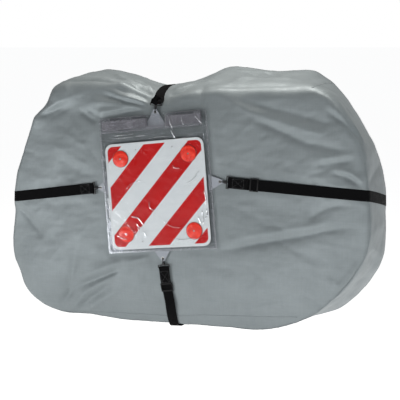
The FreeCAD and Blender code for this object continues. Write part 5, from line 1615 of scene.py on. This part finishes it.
def union(objs, name):
    """One solid from overlapping ones."""
    base = objs[0]
    SC.collection.objects.link(base)
    for o in objs[1:]:
        SC.collection.objects.link(o)
        md = base.modifiers.new("u", "BOOLEAN")
        md.operation, md.object, md.solver = "UNION", o, "EXACT"
    dg = bpy.context.evaluated_depsgraph_get()
    me = bpy.data.meshes.new_from_object(base.evaluated_get(dg))
    me.name = name
    for o in objs:
        bpy.data.objects.remove(o)
    return me


slider_me = union([rounded_bar(-20, 20, 25.6, 29.2, -3.4, 3.6, 1.1, 3), rounded_bar(-20, 20, -29.2, -25.6, -3.4, 3.6, 1.1, 3),
                   rounded_bar(-20, -14, -27, 27, 1.3, 3.6, 0.8), rounded_bar(14, 20, -27, 27, 1.3, 3.6, 0.8),
                   rounded_bar(-3, 3, -27, 27, -3.4, -1.3, 0.7)], "slider")
slider_v = np.array([v.co for v in slider_me.vertices])
slider_f = [tuple(p.vertices) for p in slider_me.polygons]
for nm, p0, dr, hk, dist in (("right", endR, dirR, "right", 72.0), ("bottom", endB, dirB, "bottom", 48.0)):
    z = unit(np.cross(dr, HF[hk][2]))
    z = -z if z @ SN < 0 else z
    y = np.cross(z, dr)
    c = p0 + dr * dist
    V = c + slider_v[:, 0:1] * dr + slider_v[:, 1:2] * y + slider_v[:, 2:3] * z
    o = mesh_piece("slider_" + nm + "_body", V, slider_f, "slider_" + nm, M_SLIDER, None, False)
    o.data.shade_smooth()
    fix_outward(o)
    o.data.set_sharp_from_angle(angle=math.radians(38))
    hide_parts("strap_slider_" + nm)

# =====================================================================
# seams: inner binding tape, outer lap and topstitching
# =====================================================================
LAP = [(4.6, 0.0), (4.1, 0.55), (2.0, 0.72), (0.0, 0.75), (-2.0, 0.72), (-4.1, 0.55), (-4.6, 0.0), (-3.6, -0.35), (0.0, -0.4), (3.6, -0.35)]


def seam_row(j, jn, off):
    """Points beside a seam, on the gusset: j is the seam's column, jn its neighbour."""
    a = PD[[gi(i, j) for i in range(NI)]]
    b = PD[[gi(i, jn) for i in range(NI)]]
    return a + unit(b - a) * off


def snapped(P, lift):
    out = [snap(p, lift) for p in P]
    return np.array([o[0] for o in out]), np.array([o[1] for o in out])


thread_lines = []
for side, j, jn, node in (("front", 0, 1, "front_seam_tape"), ("back", NT, NT - 1, "back_seam_tape")):
    c = smooth_rows(seam_row(j, jn, 5.2), 1, closed=True)
    c = np.concatenate([c, c[:1]])
    c = resample(c, 6.0)[0][:-1]
    Pl, Nl = snapped(c, 0.35)
    Nl = unit(smooth_rows(Nl, 2, closed=True))
    # the outer lap shows down the sides and along the bottom; over the top the cloth is folded under
    if side == "front":
        k0_ = int(np.argmin(np.abs(Pl[:, 0] - 850.0) + 0.8 * np.abs(Pl[:, 2] - 830.0)))
        k1_ = int(np.argmin(np.abs(Pl[:, 0] + 640.0) + 0.4 * np.abs(Pl[:, 2] - 960.0)))
        sel = np.array([k % len(Pl) for k in range(k1_, k1_ + (k0_ - k1_) % len(Pl))])
        lap = ribbon_arrays(Pl[sel], Nl[sel], LAP)
    else:
        sel = np.arange(len(Pl))
        lap = ribbon_arrays(Pl, Nl, LAP, True)
    # the tape inside, folded over the raw edges
    Pi = Pl - Nl * 4.6
    inner = ribbon_arrays(Pi, Nl, web_section(18.0, 1.2, 7, 0.0), True)
    V, F, U = join_arrays([lap, inner])
    o = mesh_piece("seam_" + side, V, F, "cover", M_SIDE, U)
    o.data.materials.append(M_BIND)
    mi = np.zeros(len(o.data.polygons), np.int32)
    mi[len(lap[1]):] = 1
    fix_outward(o)
    o.data.polygons.foreach_set("material_index", mi)
    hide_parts(node)
    T, W, N2 = frames(Pl, Nl, True)
    thread_lines.append(((Pl + N2 * 0.72)[sel], Nl[sel]))
    # a second row on the face beside the seam
    Wd = np.array([seam_row(j, jn, 0.0)[k % NI] for k in range(NI)])
    cen = np.array([0.0, Wd[:, 1].mean(), 560.0])
    inw = unit((cen - Wd) * np.array([1.0, 0.0, 1.0]))
    tang = unit(np.roll(Wd, -1, 0) - np.roll(Wd, 1, 0))
    inw = unit(inw - tang * (inw * tang).sum(1)[:, None])
    q = resample(np.concatenate([Wd + inw * 5.0, (Wd + inw * 5.0)[:1]]), 6.0)[0]
    Pq, Nq = snapped(q, 0.05)
    if side == "front":
        ok = np.where(Pq[:, 0] > 0, Pq[:, 2] < 830, Pq[:, 2] < 960)
        runs = np.split(np.arange(len(Pq)), np.where(np.diff(ok.astype(int)) != 0)[0] + 1)
        for r_ in runs:
            if ok[r_[0]] and len(r_) > 4:
                thread_lines.append((Pq[r_], Nq[r_]))
    else:
        thread_lines.append((Pq, Nq))

cross_parts = []
for i0 in (UNDER0 * 10, RIGHT0 * 10, TOP0 * 10, LEFT0 * 10):
    c = PD[[gi(i0, jv) for jv in range(2, NT - 1)]]
    c = resample(c, 6.0)[0]
    Pl, Nl = snapped(c, 0.3)
    cross_parts.append(ribbon_arrays(Pl, unit(smooth_rows(Nl, 2)), LAP))
    T, W, N2 = frames(Pl, Nl)
    for a in (-2.6, 2.6):
        thread_lines.append((Pl + W * a + N2 * 0.68, Nl))
hem_xz = catmull([(-590, 0, 13), (-440, 0, 27), (-287, 0, 42), (-140, 0, 51), (12, 0, 60), (112, 0, 75), (274, 0, 91), (450, 0, 106), (630, 0, 119)], 200)
hem_pts = np.array([(x, float(front_y(x, z)), z) for x, _, z in hem_xz])
Pl, Nl = snapped(hem_pts, 0.15)
cross_parts.append(ribbon_arrays(Pl, unit(smooth_rows(Nl, 3)), [(a * 0.55, b * 0.8) for a, b in LAP]))
T, W, N2 = frames(Pl, Nl)
thread_lines.append((Pl + N2 * 0.55, Nl))
V, F, U = join_arrays(cross_parts)
o = fix_outward(mesh_piece("seam_laps", V, F, "cover", M_SIDE, U))
V, F, U = stitches(thread_lines, 4.2, 3.1, 0.34, 5, 0.08)
o = mesh_piece("seam_stitching", V, F, "cover", M_THREAD)

# =====================================================================
# elasticated hem
# =====================================================================
NHB = 840
hp, hn, hs, _L = racetrack(NHB, SLOT_R - 2.6)
rf = ruffle(hs * (HOLE_L / _L))
rf2 = ruffle(hs * (HOLE_L / _L) + 9.0)
base_z = np.interp(hs / _L, np.append(hole_s / HOLE_L, 1.0), np.append(PD[oH:oH + NH, 2], PD[oH, 2]))
sec = []
for k in range(28):          # round the casing: outer wall up, over the top, inner wall down, bottom
    g = 2 * math.pi * k / 28
    ca, sa = math.cos(g), math.sin(g)
    sec.append((math.copysign(abs(ca) ** 0.55, ca), math.copysign(abs(sa) ** 0.35, sa)))
sec = np.array(sec)
V = np.zeros((NHB, 28, 3))
for k, (a, b) in enumerate(sec):
    bulge = np.maximum(0, rf if a > 0 else rf2) * 1.3 * (1 - 0.55 * abs(b))
    r = 2.75 * a + np.sign(a) * bulge * abs(a) + (0.9 * rf * (b > 0.55) * abs(b))
    V[:, k, 0] = hp[:, 0] + hn[:, 0] * r
    V[:, k, 1] = hp[:, 1] + hn[:, 1] * r
    V[:, k, 2] = 16.2 + 16.0 * b + 0.8 * rf2 * max(0.0, b)
F = []
for i in range(NHB):
    for k in range(28):
        F.append((i * 28 + k, ((i + 1) % NHB) * 28 + k, ((i + 1) % NHB) * 28 + (k + 1) % 28, i * 28 + (k + 1) % 28))
hem = mesh_piece("hem_casing", V.reshape(-1, 3), F, "cover", M_SIDE,
                 np.stack([np.repeat(hs * MM * 1.6, 28), np.tile(sec[:, 1] * 0.016, NHB)], 1))
fix_outward(hem)
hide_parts("hem_band")
q = V.reshape(NHB, 28, 3)
hem_lines = []
for k in (7 - 5, 7 + 5):
    r = q[:, k]
    nn = unit(np.column_stack([hn, np.zeros(NHB)]) * (1 if sec[k][0] > 0 else -1))
    hem_lines.append((np.concatenate([r, r[:1]]), np.concatenate([nn, nn[:1]])))
V, F, U = stitches(hem_lines, 4.2, 3.1, 0.34, 5, 0.1)
o = mesh_piece("hem_stitching", V, F, "cover", M_THREAD)

# =====================================================================
# warning sign: red bands on the white face
# =====================================================================


def rounded_rect(u0, u1, v0, v1, r, n=10):
    pts = []
    for cx, cy, a0 in ((u1 - r, v1 - r, 0), (u0 + r, v1 - r, 90), (u0 + r, v0 + r, 180), (u1 - r, v0 + r, 270)):
        for k in range(n + 1):
            a = math.radians(a0 + 90.0 * k / n)
            pts.append((cx + r * math.cos(a), cy + r * math.sin(a)))
    return pts


def clip(poly, a, b, c):
    """Part of a polygon where a*u + b*v >= c."""
    out = []
    for p, q in zip(poly, poly[1:] + poly[:1]):
        dp, dq = a * p[0] + b * p[1] - c, a * q[0] + b * q[1] - c
        if dp >= 0:
            out.append(p)
        if (dp < 0) != (dq < 0):
            t = dp / (dp - dq)
            out.append((p[0] + (q[0] - p[0]) * t, p[1] + (q[1] - p[1]) * t))
    return out


def circle(u, v, r, n=48):
    return [(u + r * math.cos(2 * math.pi * k / n), v + r * math.sin(2 * math.pi * k / n)) for k in range(n)]


def thin_shape(rings, keep, n0, n1):
    """Closed thin body over a flat region."""
    pts, ed, at = [], [], 0
    for r in rings:
        ed += [(at + k, at + (k + 1) % len(r)) for k in range(len(r))]
        pts += [Vector(p) for p in r]
        at += len(r)
    vo, eo, fo, _, _, _ = delaunay_2d_cdt(pts, ed, [], 0, 1e-5)
    P = np.array([(p.x, p.y) for p in vo])
    tri = [tuple(f) for f in fo]
    cen = np.array([P[list(f)].mean(0) for f in tri])
    ok = keep(cen)
    tri = [f for f, g in zip(tri, ok) if g]
    use = sorted({i for f in tri for i in f})
    loc = {i: k for k, i in enumerate(use)}
    n = len(use)
    F1 = [tuple(loc[i] for i in f) for f in tri]
    seen = {(a, b) for f in F1 for a, b in zip(f, f[1:] + f[:1])}
    rim = sorted((b, a, a + n, b + n) for a, b in seen if (b, a) not in seen)
    V = np.concatenate([sp(P[use, 0], P[use, 1], np.full(n, n1)), sp(P[use, 0], P[use, 1], np.full(n, n0))])
    return V, F1 + [tuple(i + n for i in f[::-1]) for f in F1] + rim, np.concatenate([P[use], P[use]]) * MM


ARTB = [list(p) for p in rounded_rect(-237.5, 237.5, -237.5, 237.5, 27.0)]
ARTB = [tuple(p) for p in ARTB]
REFLECT = [(su * 172.0, sv * 178.0) for su in (-1, 1) for sv in (-1, 1)]
SCREWH = [(su * 93.0, sv * 216.0) for su in (-1, 1) for sv in (-1, 1)]
K = 1.015
red_parts = []
for lo, hi in ((404.0, 2000.0), (177.0, 287.0), (-52.0, 60.0), (-282.0, -174.0), (-2000.0, -408.0)):
    poly = clip(clip(ARTB, -K, 1.0, lo), K, -1.0, -hi)
    rings = [poly] + [circle(u, v, 40.3) for u, v in REFLECT] + [circle(u, v, 3.6, 20) for u, v in SCREWH]
    pa = np.array(poly)

    def keep(c, pa=pa):
        g = inside_poly(c, pa)
        for u, v in REFLECT:
            g &= np.hypot(c[:, 0] - u, c[:, 1] - v) > 40.2
        for u, v in SCREWH:
            g &= np.hypot(c[:, 0] - u, c[:, 1] - v) > 3.5
        return g

    red_parts.append(thin_shape(rings, keep, 0.32, 0.46))
V, F, U = join_arrays(red_parts)
red = mesh_piece("sign_red_bands", V, F, "sign", M_RED, U, False)
fix_outward(red)

# =====================================================================
# reflector lenses, moulded in prisms
# =====================================================================
lens_parts = []
NR, NA = 20, 96
for u, v in REFLECT:
    top = []
    rr = np.linspace(4.5, 38.0, NR)
    for r in rr:
        dome = 0.3 + 4.2 + 3.0 * (1 - (r / 38.0) ** 2)
        for k in range(NA):
            a = 2 * math.pi * k / NA
            pris = 0.30 * abs(((r / 3.53) % 1) * 2 - 1) + 0.22 * (k % 4 in (1, 2)) * (r > 9)
            rim_ = 1.0 if r < 36.4 else 0.0
            top.append((u + r * math.cos(a), v + r * math.sin(a), dome + (pris - 0.35) * rim_ * (r > 6)))
    bot = [(u + r * math.cos(2 * math.pi * k / NA), v + r * math.sin(2 * math.pi * k / NA), 1.8) for r in (4.5, 38.0) for k in range(NA)]
    P = np.array(top + bot)
    F = []
    for i in range(NR - 1):
        for k in range(NA):
            F.append((i * NA + k, i * NA + (k + 1) % NA, (i + 1) * NA + (k + 1) % NA, (i + 1) * NA + k))
    o0, o1 = NR * NA, NR * NA + NA
    for k in range(NA):
        k2 = (k + 1) % NA
        F.append(((NR - 1) * NA + k, (NR - 1) * NA + k2, o1 + k2, o1 + k))
        F.append((o1 + k, o1 + k2, o0 + k2, o0 + k))
        F.append((o0 + k, o0 + k2, k2, k))
    lens_parts.append((sp(P[:, 0], P[:, 1], P[:, 2]), F, np.zeros((len(P), 2))))
V, F, U = join_arrays(lens_parts)
lens = mesh_piece("reflector_lens_prisms", V, F, "sign", M_LENS, None, False)
fix_outward(lens)
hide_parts("reflector_lenses")

# =====================================================================
# clear pocket
# =====================================================================
PU0, PU1, PV0, PV1 = -277.0, 272.0, -267.0, 375.0


def ridge2(u, v, line, w, h):
    """Soft raised line on the film, tapering at its ends."""
    L = catmull([(a, 0, b) for a, b in line], 6 * len(line))[:, [0, 2]]
    seg = np.diff(L, axis=0)
    ln = np.maximum(np.linalg.norm(seg, axis=1), 1e-9)
    cum = np.concatenate([[0], np.cumsum(ln)])
    best = np.full(u.shape, 1e9)
    s = np.zeros(u.shape)
    lo, hi = L.min(0) - 5 * w, L.max(0) + 5 * w
    k_ = (u > lo[0]) & (u < hi[0]) & (v > lo[1]) & (v < hi[1])
    uu, vv = u[k_], v[k_]
    bb, ss = np.full(uu.shape, 1e9), np.zeros(uu.shape)
    for k in range(len(seg)):
        t = np.clip(((uu - L[k, 0]) * seg[k, 0] + (vv - L[k, 1]) * seg[k, 1]) / ln[k] ** 2, 0, 1)
        d = np.hypot(uu - L[k, 0] - t * seg[k, 0], vv - L[k, 1] - t * seg[k, 1])
        c = d < bb
        bb[c], ss[c] = d[c], (cum[k] + t[c] * ln[k]) / cum[-1]
    out = np.zeros(u.shape)
    out[k_] = h * np.exp(-(bb / w) ** 2) * smooth01(ss / 0.18) * smooth01((1 - ss) / 0.18)
    return out


# raised lines in the film, drawn as geometry; the same lines are also painted white on the film as painted glints
GLINTS = [
    ([(76, 361), (74, 330), (72, 303)], 2.0, 0.9), ([(97, 353), (97, 331), (103, 313), (106, 300), (103, 288), (110, 268), (121, 250)], 2.8, 1.6),
    ([(157, 350), (157, 330), (165, 308)], 2.0, 1.0), ([(218, 352), (232, 334), (249, 314), (255, 302)], 2.4, 1.2),
    ([(257, 271), (257, 236), (262, 207)], 1.8, 0.8),
    ([(-38, -20), (-37, -57), (-20, -70), (-3, -66)], 2.2, 1.0), ([(-22, -70), (-30, -90)], 2.0, 0.8),
    ([(-141, -95), (-115, -100), (-99, -106), (-85, -125), (-76, -142)], 2.2, 1.2),
    ([(-112, -126), (-103, -143), (-86, -152)], 2.4, 1.2), ([(-108, -150), (-99, -164)], 2.2, 1.1),
    ([(-81, -166), (-72, -182), (-66, -198)], 2.6, 1.1), ([(92, 134), (104, 117), (132, 115)], 1.8, 0.8),
    ([(244, -78), (246, -106), (232, -128)], 2.2, 1.1), ([(199, -110), (207, -132), (215, -156)], 2.4, 1.0),
    ([(221, -82), (225, -130), (218, -157)], 2.2, 1.0), ([(-219, -179), (-190, -196), (-160, -200)], 2.2, 0.8),
    ([(236, 10), (246, -30), (240, -66)], 2.4, 0.9), ([(60, -210), (120, -216), (190, -208)], 3.0, 0.7),
    ([(-200, 288), (-136, 290), (-79, 293)], 2.4, 0.7), ([(-226, 279), (-145, 277), (-49, 279), (-2, 275)], 2.4, 0.7),
    ([(-30, 262), (40, 268), (90, 262)], 2.6, 0.6), ([(-255, 210), (-250, 150), (-255, 90)], 2.4, 0.8),
    ([(-252, 20), (-246, -50), (-252, -120)], 2.4, 0.7), ([(150, 40), (190, 60), (225, 100)], 3.2, 0.6),
    ([(-160, 30), (-120, 60), (-60, 70)], 3.4, 0.5), ([(20, -120), (60, -150), (110, -160)], 3.0, 0.6),
]


def ripple(u, v):
    """Uneven lie of the clear film."""
    P = np.stack([u, v], -1).reshape(-1, 2)
    h = 0.42 * waves(P, 130.0, 51, 14) + 0.16 * waves(P @ np.array([[1.0, 0.4], [-0.2, 0.8]]), 42.0, 52, 14)
    h = h.reshape(u.shape)
    for line, w, hh in GLINTS:
        h = h + ridge2(u, v, line, w, hh)
    # fine vertical gathers at the right of the mouth
    g = smooth01((u - 30.0) / 60.0) * smooth01((v - 296.0) / 14.0) * smooth01((385.0 - v) / 12.0)
    h = h + g * (0.34 * np.sin(u / 1.35 + 1.4 * np.sin(v / 17.0 + u / 23.0)) + 0.25 * np.sin(u / 2.9 + v / 31.0))
    g = smooth01((-20.0 - u) / 60.0) * smooth01((v - 268.0) / 14.0)
    h = h + g * 0.22 * np.sin(v / 3.4 + 1.8 * np.sin(u / 37.0))
    return h


def painted_glints_and_clear_window(u, v):
    """Painted glints, white along the raised lines (above 0), and where the film lies clear (below 0)."""
    g = np.zeros(u.shape)
    for line, w, hh in GLINTS:
        g = np.maximum(g, ridge2(u, v, line, 2.3, min(1.0, 0.10 + 0.66 * hh ** 1.5)))
    return np.where(g > 0.04, g, -tab_window(u, v))


def tab_window(u, v):
    return smooth01((u + 29.0) / 8.0) * smooth01((80.0 - u) / 8.0) * smooth01((v - 306.0) / 7.0)


def film_piece(name, us, vs, height, thick, body, mat, edge_mat=None, edge=None, outline=None, lie=None, keep=None):
    """Closed thin sheet over a grid in the sign's plane: height is the outer face."""
    Ug, Vg = np.meshgrid(us, vs, indexing="ij")
    if outline is not None:
        Ug, Vg = outline(Ug, Vg)
    H = height(Ug, Vg)
    e = 0.05
    hu = (height(Ug + e, Vg) - height(Ug - e, Vg)) / (2 * e)
    hv = (height(Ug, Vg + e) - height(Ug, Vg - e)) / (2 * e)
    nl = unit(np.stack([-hu, -hv, np.ones_like(hu)], -1))
    A = sp(Ug, Vg, H).reshape(-1, 3)
    n_w = (nl[..., 0:1] * SU + nl[..., 1:2] * SV + nl[..., 2:3] * SN).reshape(-1, 3)
    B = A - n_w * thick
    nu, nv = len(us), len(vs)
    n = nu * nv
    F = []
    for i in range(nu - 1):
        for j in range(nv - 1):
            if keep is None or keep((us[i] + us[i + 1]) / 2, (vs[j] + vs[j + 1]) / 2):
                a = i * nv + j
                F.append((a, a + nv, a + nv + 1, a + 1))
    seen = {(a, b) for f in F for a, b in zip(f, f[1:] + f[:1])}
    rim = sorted((b, a, a + n, b + n) for a, b in seen if (b, a) not in seen)
    F += [tuple(q + n for q in f[::-1]) for f in F] + rim
    used = sorted({q for f in F for q in f})
    loc = {q: k for k, q in enumerate(used)}
    uv = np.stack([Ug.ravel(), Vg.ravel()], 1) * MM
    o = mesh_piece(name, np.concatenate([A, B])[used], [tuple(loc[q] for q in f) for f in F], body, mat,
                   np.concatenate([uv, uv])[used], True, np.concatenate([n_w, -n_w])[used])
    if lie is not None:
        q = lie(Ug, Vg).ravel()
        o.data.attributes.new("lie", "FLOAT", "POINT").data.foreach_set("value", np.concatenate([q, q])[used])
    if edge_mat is not None:
        o.data.materials.append(edge_mat)
        cen = np.array([np.mean([uv[q % n] for q in f], axis=0) for f in F]) / MM
        mi = edge(cen[:, 0], cen[:, 1]).astype(np.int32)
        o.data.polygons.foreach_set("material_index", mi)
    return o


def front_height(u, v):
    a = np.minimum(np.minimum(u - PU0, PU1 - u), v - PV0)
    t = np.clip((a - 8.0) / 12.0, 0, 1)
    rise = -8.5 + 19.9 * (t + 0.08 * np.sin(2 * np.pi * t) * -0.5)
    w = smooth01((a - 17.0) / 10.0)
    crinkle = 0.16 * np.sin((u + v * 1.3) / 1.9) * smooth01(a / 3.0) * smooth01((11 - a) / 3.0)
    wob = 0.55 * np.sin((u * 0.9 - v) / 8.3 + 1.3 * np.sin((u + v) / 31.0)) * np.sin(np.pi * t) ** 2
    sag = -0.5 * smooth01((a - 20) / 90.0)
    return rise + crinkle + wob + w * np.clip(ripple(u, v) + sag, -1.6, 2.2)


def spaced(a, b, step, dense_at=()):
    out = [a]
    while out[-1] < b - 1e-6:
        x = out[-1]
        s = step
        for lo, hi, q in dense_at:
            if lo <= x < hi:
                s = q
        out.append(min(b, x + s))
    return np.array(out)


us = spaced(PU0 + 0.5, PU1 - 0.5, 3.1, ((PU0, PU0 + 24, 1.7), (PU1 - 24, PU1, 1.7)))
vs = spaced(PV0 + 0.5, 300.0, 3.1, ((PV0, PV0 + 24, 1.7),))
# painted glints along the raised lines, and clearer film over the tab
pf_o = film_piece("pocket_front_film", us, vs, front_height, 0.5, "cover", M_FILM, M_WELD,
                  lambda u, v: np.minimum(np.minimum(u - PU0, PU1 - u), v - PV0) < 8.0, None, painted_glints_and_clear_window)
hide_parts("pocket_front_sheet")


def back_height(u, v):
    P = np.stack([u, v], -1).reshape(-1, 2)
    a = np.minimum(np.minimum(u - PU0, PU1 - u), v - PV0)
    h = (0.35 * waves(P, 110.0, 61, 12) + 0.12 * waves(P, 30.0, 62, 12)).reshape(u.shape)
    return -9.25 + np.clip(h, -0.9, 0.8) * smooth01((a - 9) / 14.0) + 0.1 * np.sin((u - v) / 2.1) * smooth01((10 - a) / 3)


def round_corners(Ug, Vg, r=7.0):
    """Pull a rectangular grid's corners in to a radius."""
    U2, V2 = Ug.copy(), Vg.copy()
    for su, u0 in ((-1, PU0 + 0.1), (1, PU1 - 0.1)):
        for sv, v0 in ((-1, PV0 + 0.1), (1, PV1 - 0.1)):
            cu, cv = u0 - su * r, v0 - sv * r
            du, dv = (Ug - cu) * su, (Vg - cv) * sv
            k = (du > 0) & (dv > 0)
            m_ = np.maximum(du, dv)
            q = np.where(k, m_ / np.maximum(np.hypot(du, dv), 1e-9), 1.0)
            U2 = np.where(k, cu + su * du * q, U2)
            V2 = np.where(k, cv + sv * dv * q, V2)
    return U2, V2


usb = spaced(PU0 + 0.1, PU1 - 0.1, 5.0, ((PU0, PU0 + 10, 1.4), (PU1 - 10, PU1, 1.4)))
vsb = spaced(PV0 + 0.1, PV1 - 0.1, 5.0, ((PV0, PV0 + 10, 1.4), (PV1 - 10, PV1, 1.4)))
pb_o = film_piece("pocket_back_film", usb, vsb, back_height, 0.5, "cover", M_FILM_BACK, M_WELD,
                  lambda u, v: (np.minimum(np.minimum(u - PU0, PU1 - u), v - PV0) < 8.0) | (v > PV1 - 4.0), round_corners, lambda u, v: -0.8 * tab_window(u, v))
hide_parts("pocket_back_sheet")

LU0, LU1, LV0, LV1 = -257.0, 252.0, 300.6, 372.0


def lip_height(u, v):
    zipp = 0.75 * np.exp(-((v - 305.5) / 1.1) ** 2) + 0.75 * np.exp(-((v - 309.5) / 1.1) ** 2)
    e = np.minimum(u - LU0, LU1 - u)
    return 11.4 + np.clip(0.7 * ripple(u, v), -0.9, 1.6) * smooth01((v - 301.0) / 6.0) * smooth01((e + 2) / 8.0) + zipp


def lip_outline(Ug, Vg):
    t = (Vg - LV0) / (LV1 - LV0)
    saw = 1.6 * np.abs(((Ug / 5.2) % 1) * 2 - 1)
    return Ug, Vg - saw * smooth01((t - 0.93) / 0.07)


usl = spaced(LU0, LU1, 1.3)
vsl = spaced(LV0, LV1, 2.4, ((LV0, 313.0, 0.8), (367.0, 373.0, 1.2)))
# painted glints along the raised lines here too, and clearer film over the tab
lip_o = film_piece("pocket_mouth_lip", usl, vsl, lip_height, 0.5, "mouth_lip", M_FILM_LIP, M_ZIP,
                   lambda u, v: (v > 303.6) & (v < 311.4), lip_outline,
                   lambda u, v: np.where(painted_glints_and_clear_window(u, v) > 0, painted_glints_and_clear_window(u, v), -0.7 * tab_window(u, v)))
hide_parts("mouth_lip")


def tape_height(base, up):
    def f(u, v):
        rib = sum(0.5 * np.exp(-((v - c) / 1.0) ** 2) for c in (320.0, 325.0, 347.0, 352.0))
        return base + up * rib + 0.08 * np.sin(u / 1.5)
    return f


for nm, body, node, base in (("closure_front", "mouth_lip", "closure_tape_front", 10.55), ("closure_back", "cover", "closure_tape_back", -8.25)):
    o = film_piece(nm, spaced(LU0 + 6, LU1 - 6, 2.6), spaced(LV0 + 14, LV1 - 14, 1.0), tape_height(base, 0.0 if base > 0 else 0.8),
                   0.65, body, M_TAPE, None, None, None, None,
                   lambda u, v: not (-26.0 < u < 77.0 and v > 319.0))
    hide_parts(node)

# =====================================================================
# CAD nodes that keep their shape: material slots
# =====================================================================


def dress(node, mat):
    o = NODES[node]
    for ob in (o if isinstance(o, (list, tuple)) else [o]):
        if not ob.data.materials:
            ob.data.materials.append(mat)
        for s in ob.material_slots:
            s.material = mat


for nd in NODES:
    if nd.startswith(("hook_base", "hook_body", "hook_gate")):
        dress(nd, M_HOOK)
    elif nd.startswith("gate_spring"):
        dress(nd, M_SPRING)
for nd, mt in (("tab_eyelets", M_EYELET), ("eyelet_washers", M_EYELET), ("sign_plate", M_ALU), ("sign_stripes", M_WHITE),
               ("reflector_bases", M_RBASE), ("reflector_screws", M_STEEL), ("reflector_nuts", M_STEEL),
               ("hem_elastic", M_ELASTIC), ("pocket_tabs", M_TAB)):
    dress(nd, mt)

# =====================================================================
# floor: it glows, with a painted shadow under the cover
# =====================================================================
n = Nodes("pale_floor_glowing_painted_shadow")
n.base(n.ramp(n.noise(n.mapping("Object"), 1.5, 3.0), [(0.3, (0.86, 0.87, 0.88)), (0.7, (0.88, 0.885, 0.89))]))
# emission strength 0.32 within 0.8 m of the point on the floor under the cover's front, rising to 0.86 beyond 1.8 m:
# the floor glows, and its dim patch is a painted shadow
ln = n.node("ShaderNodeVectorMath", operation="LENGTH")
n.link(n.mapping("Object", (1, 1, 1), (0, 0, 0), (0, 0.3, 0.9)), ln.inputs[0])
n.link(n.rng_map(ln.outputs["Value"], 0.8, 1.8, 0.32, 0.86), n.bsdf.inputs["Emission Strength"])
n.set(Roughness=0.9, Emission_Color=(1, 1, 1, 1))
me = bpy.data.meshes.new("floor")
s = 400.0
me.from_pydata([(-s, -s, -0.9), (s, -s, -0.9), (s, s, -0.9), (-s, s, -0.9)], [], [(0, 1, 2, 3)])
me.materials.append(n.mat)
floor = bpy.data.objects.new("floor", me)
SC.collection.objects.link(floor)
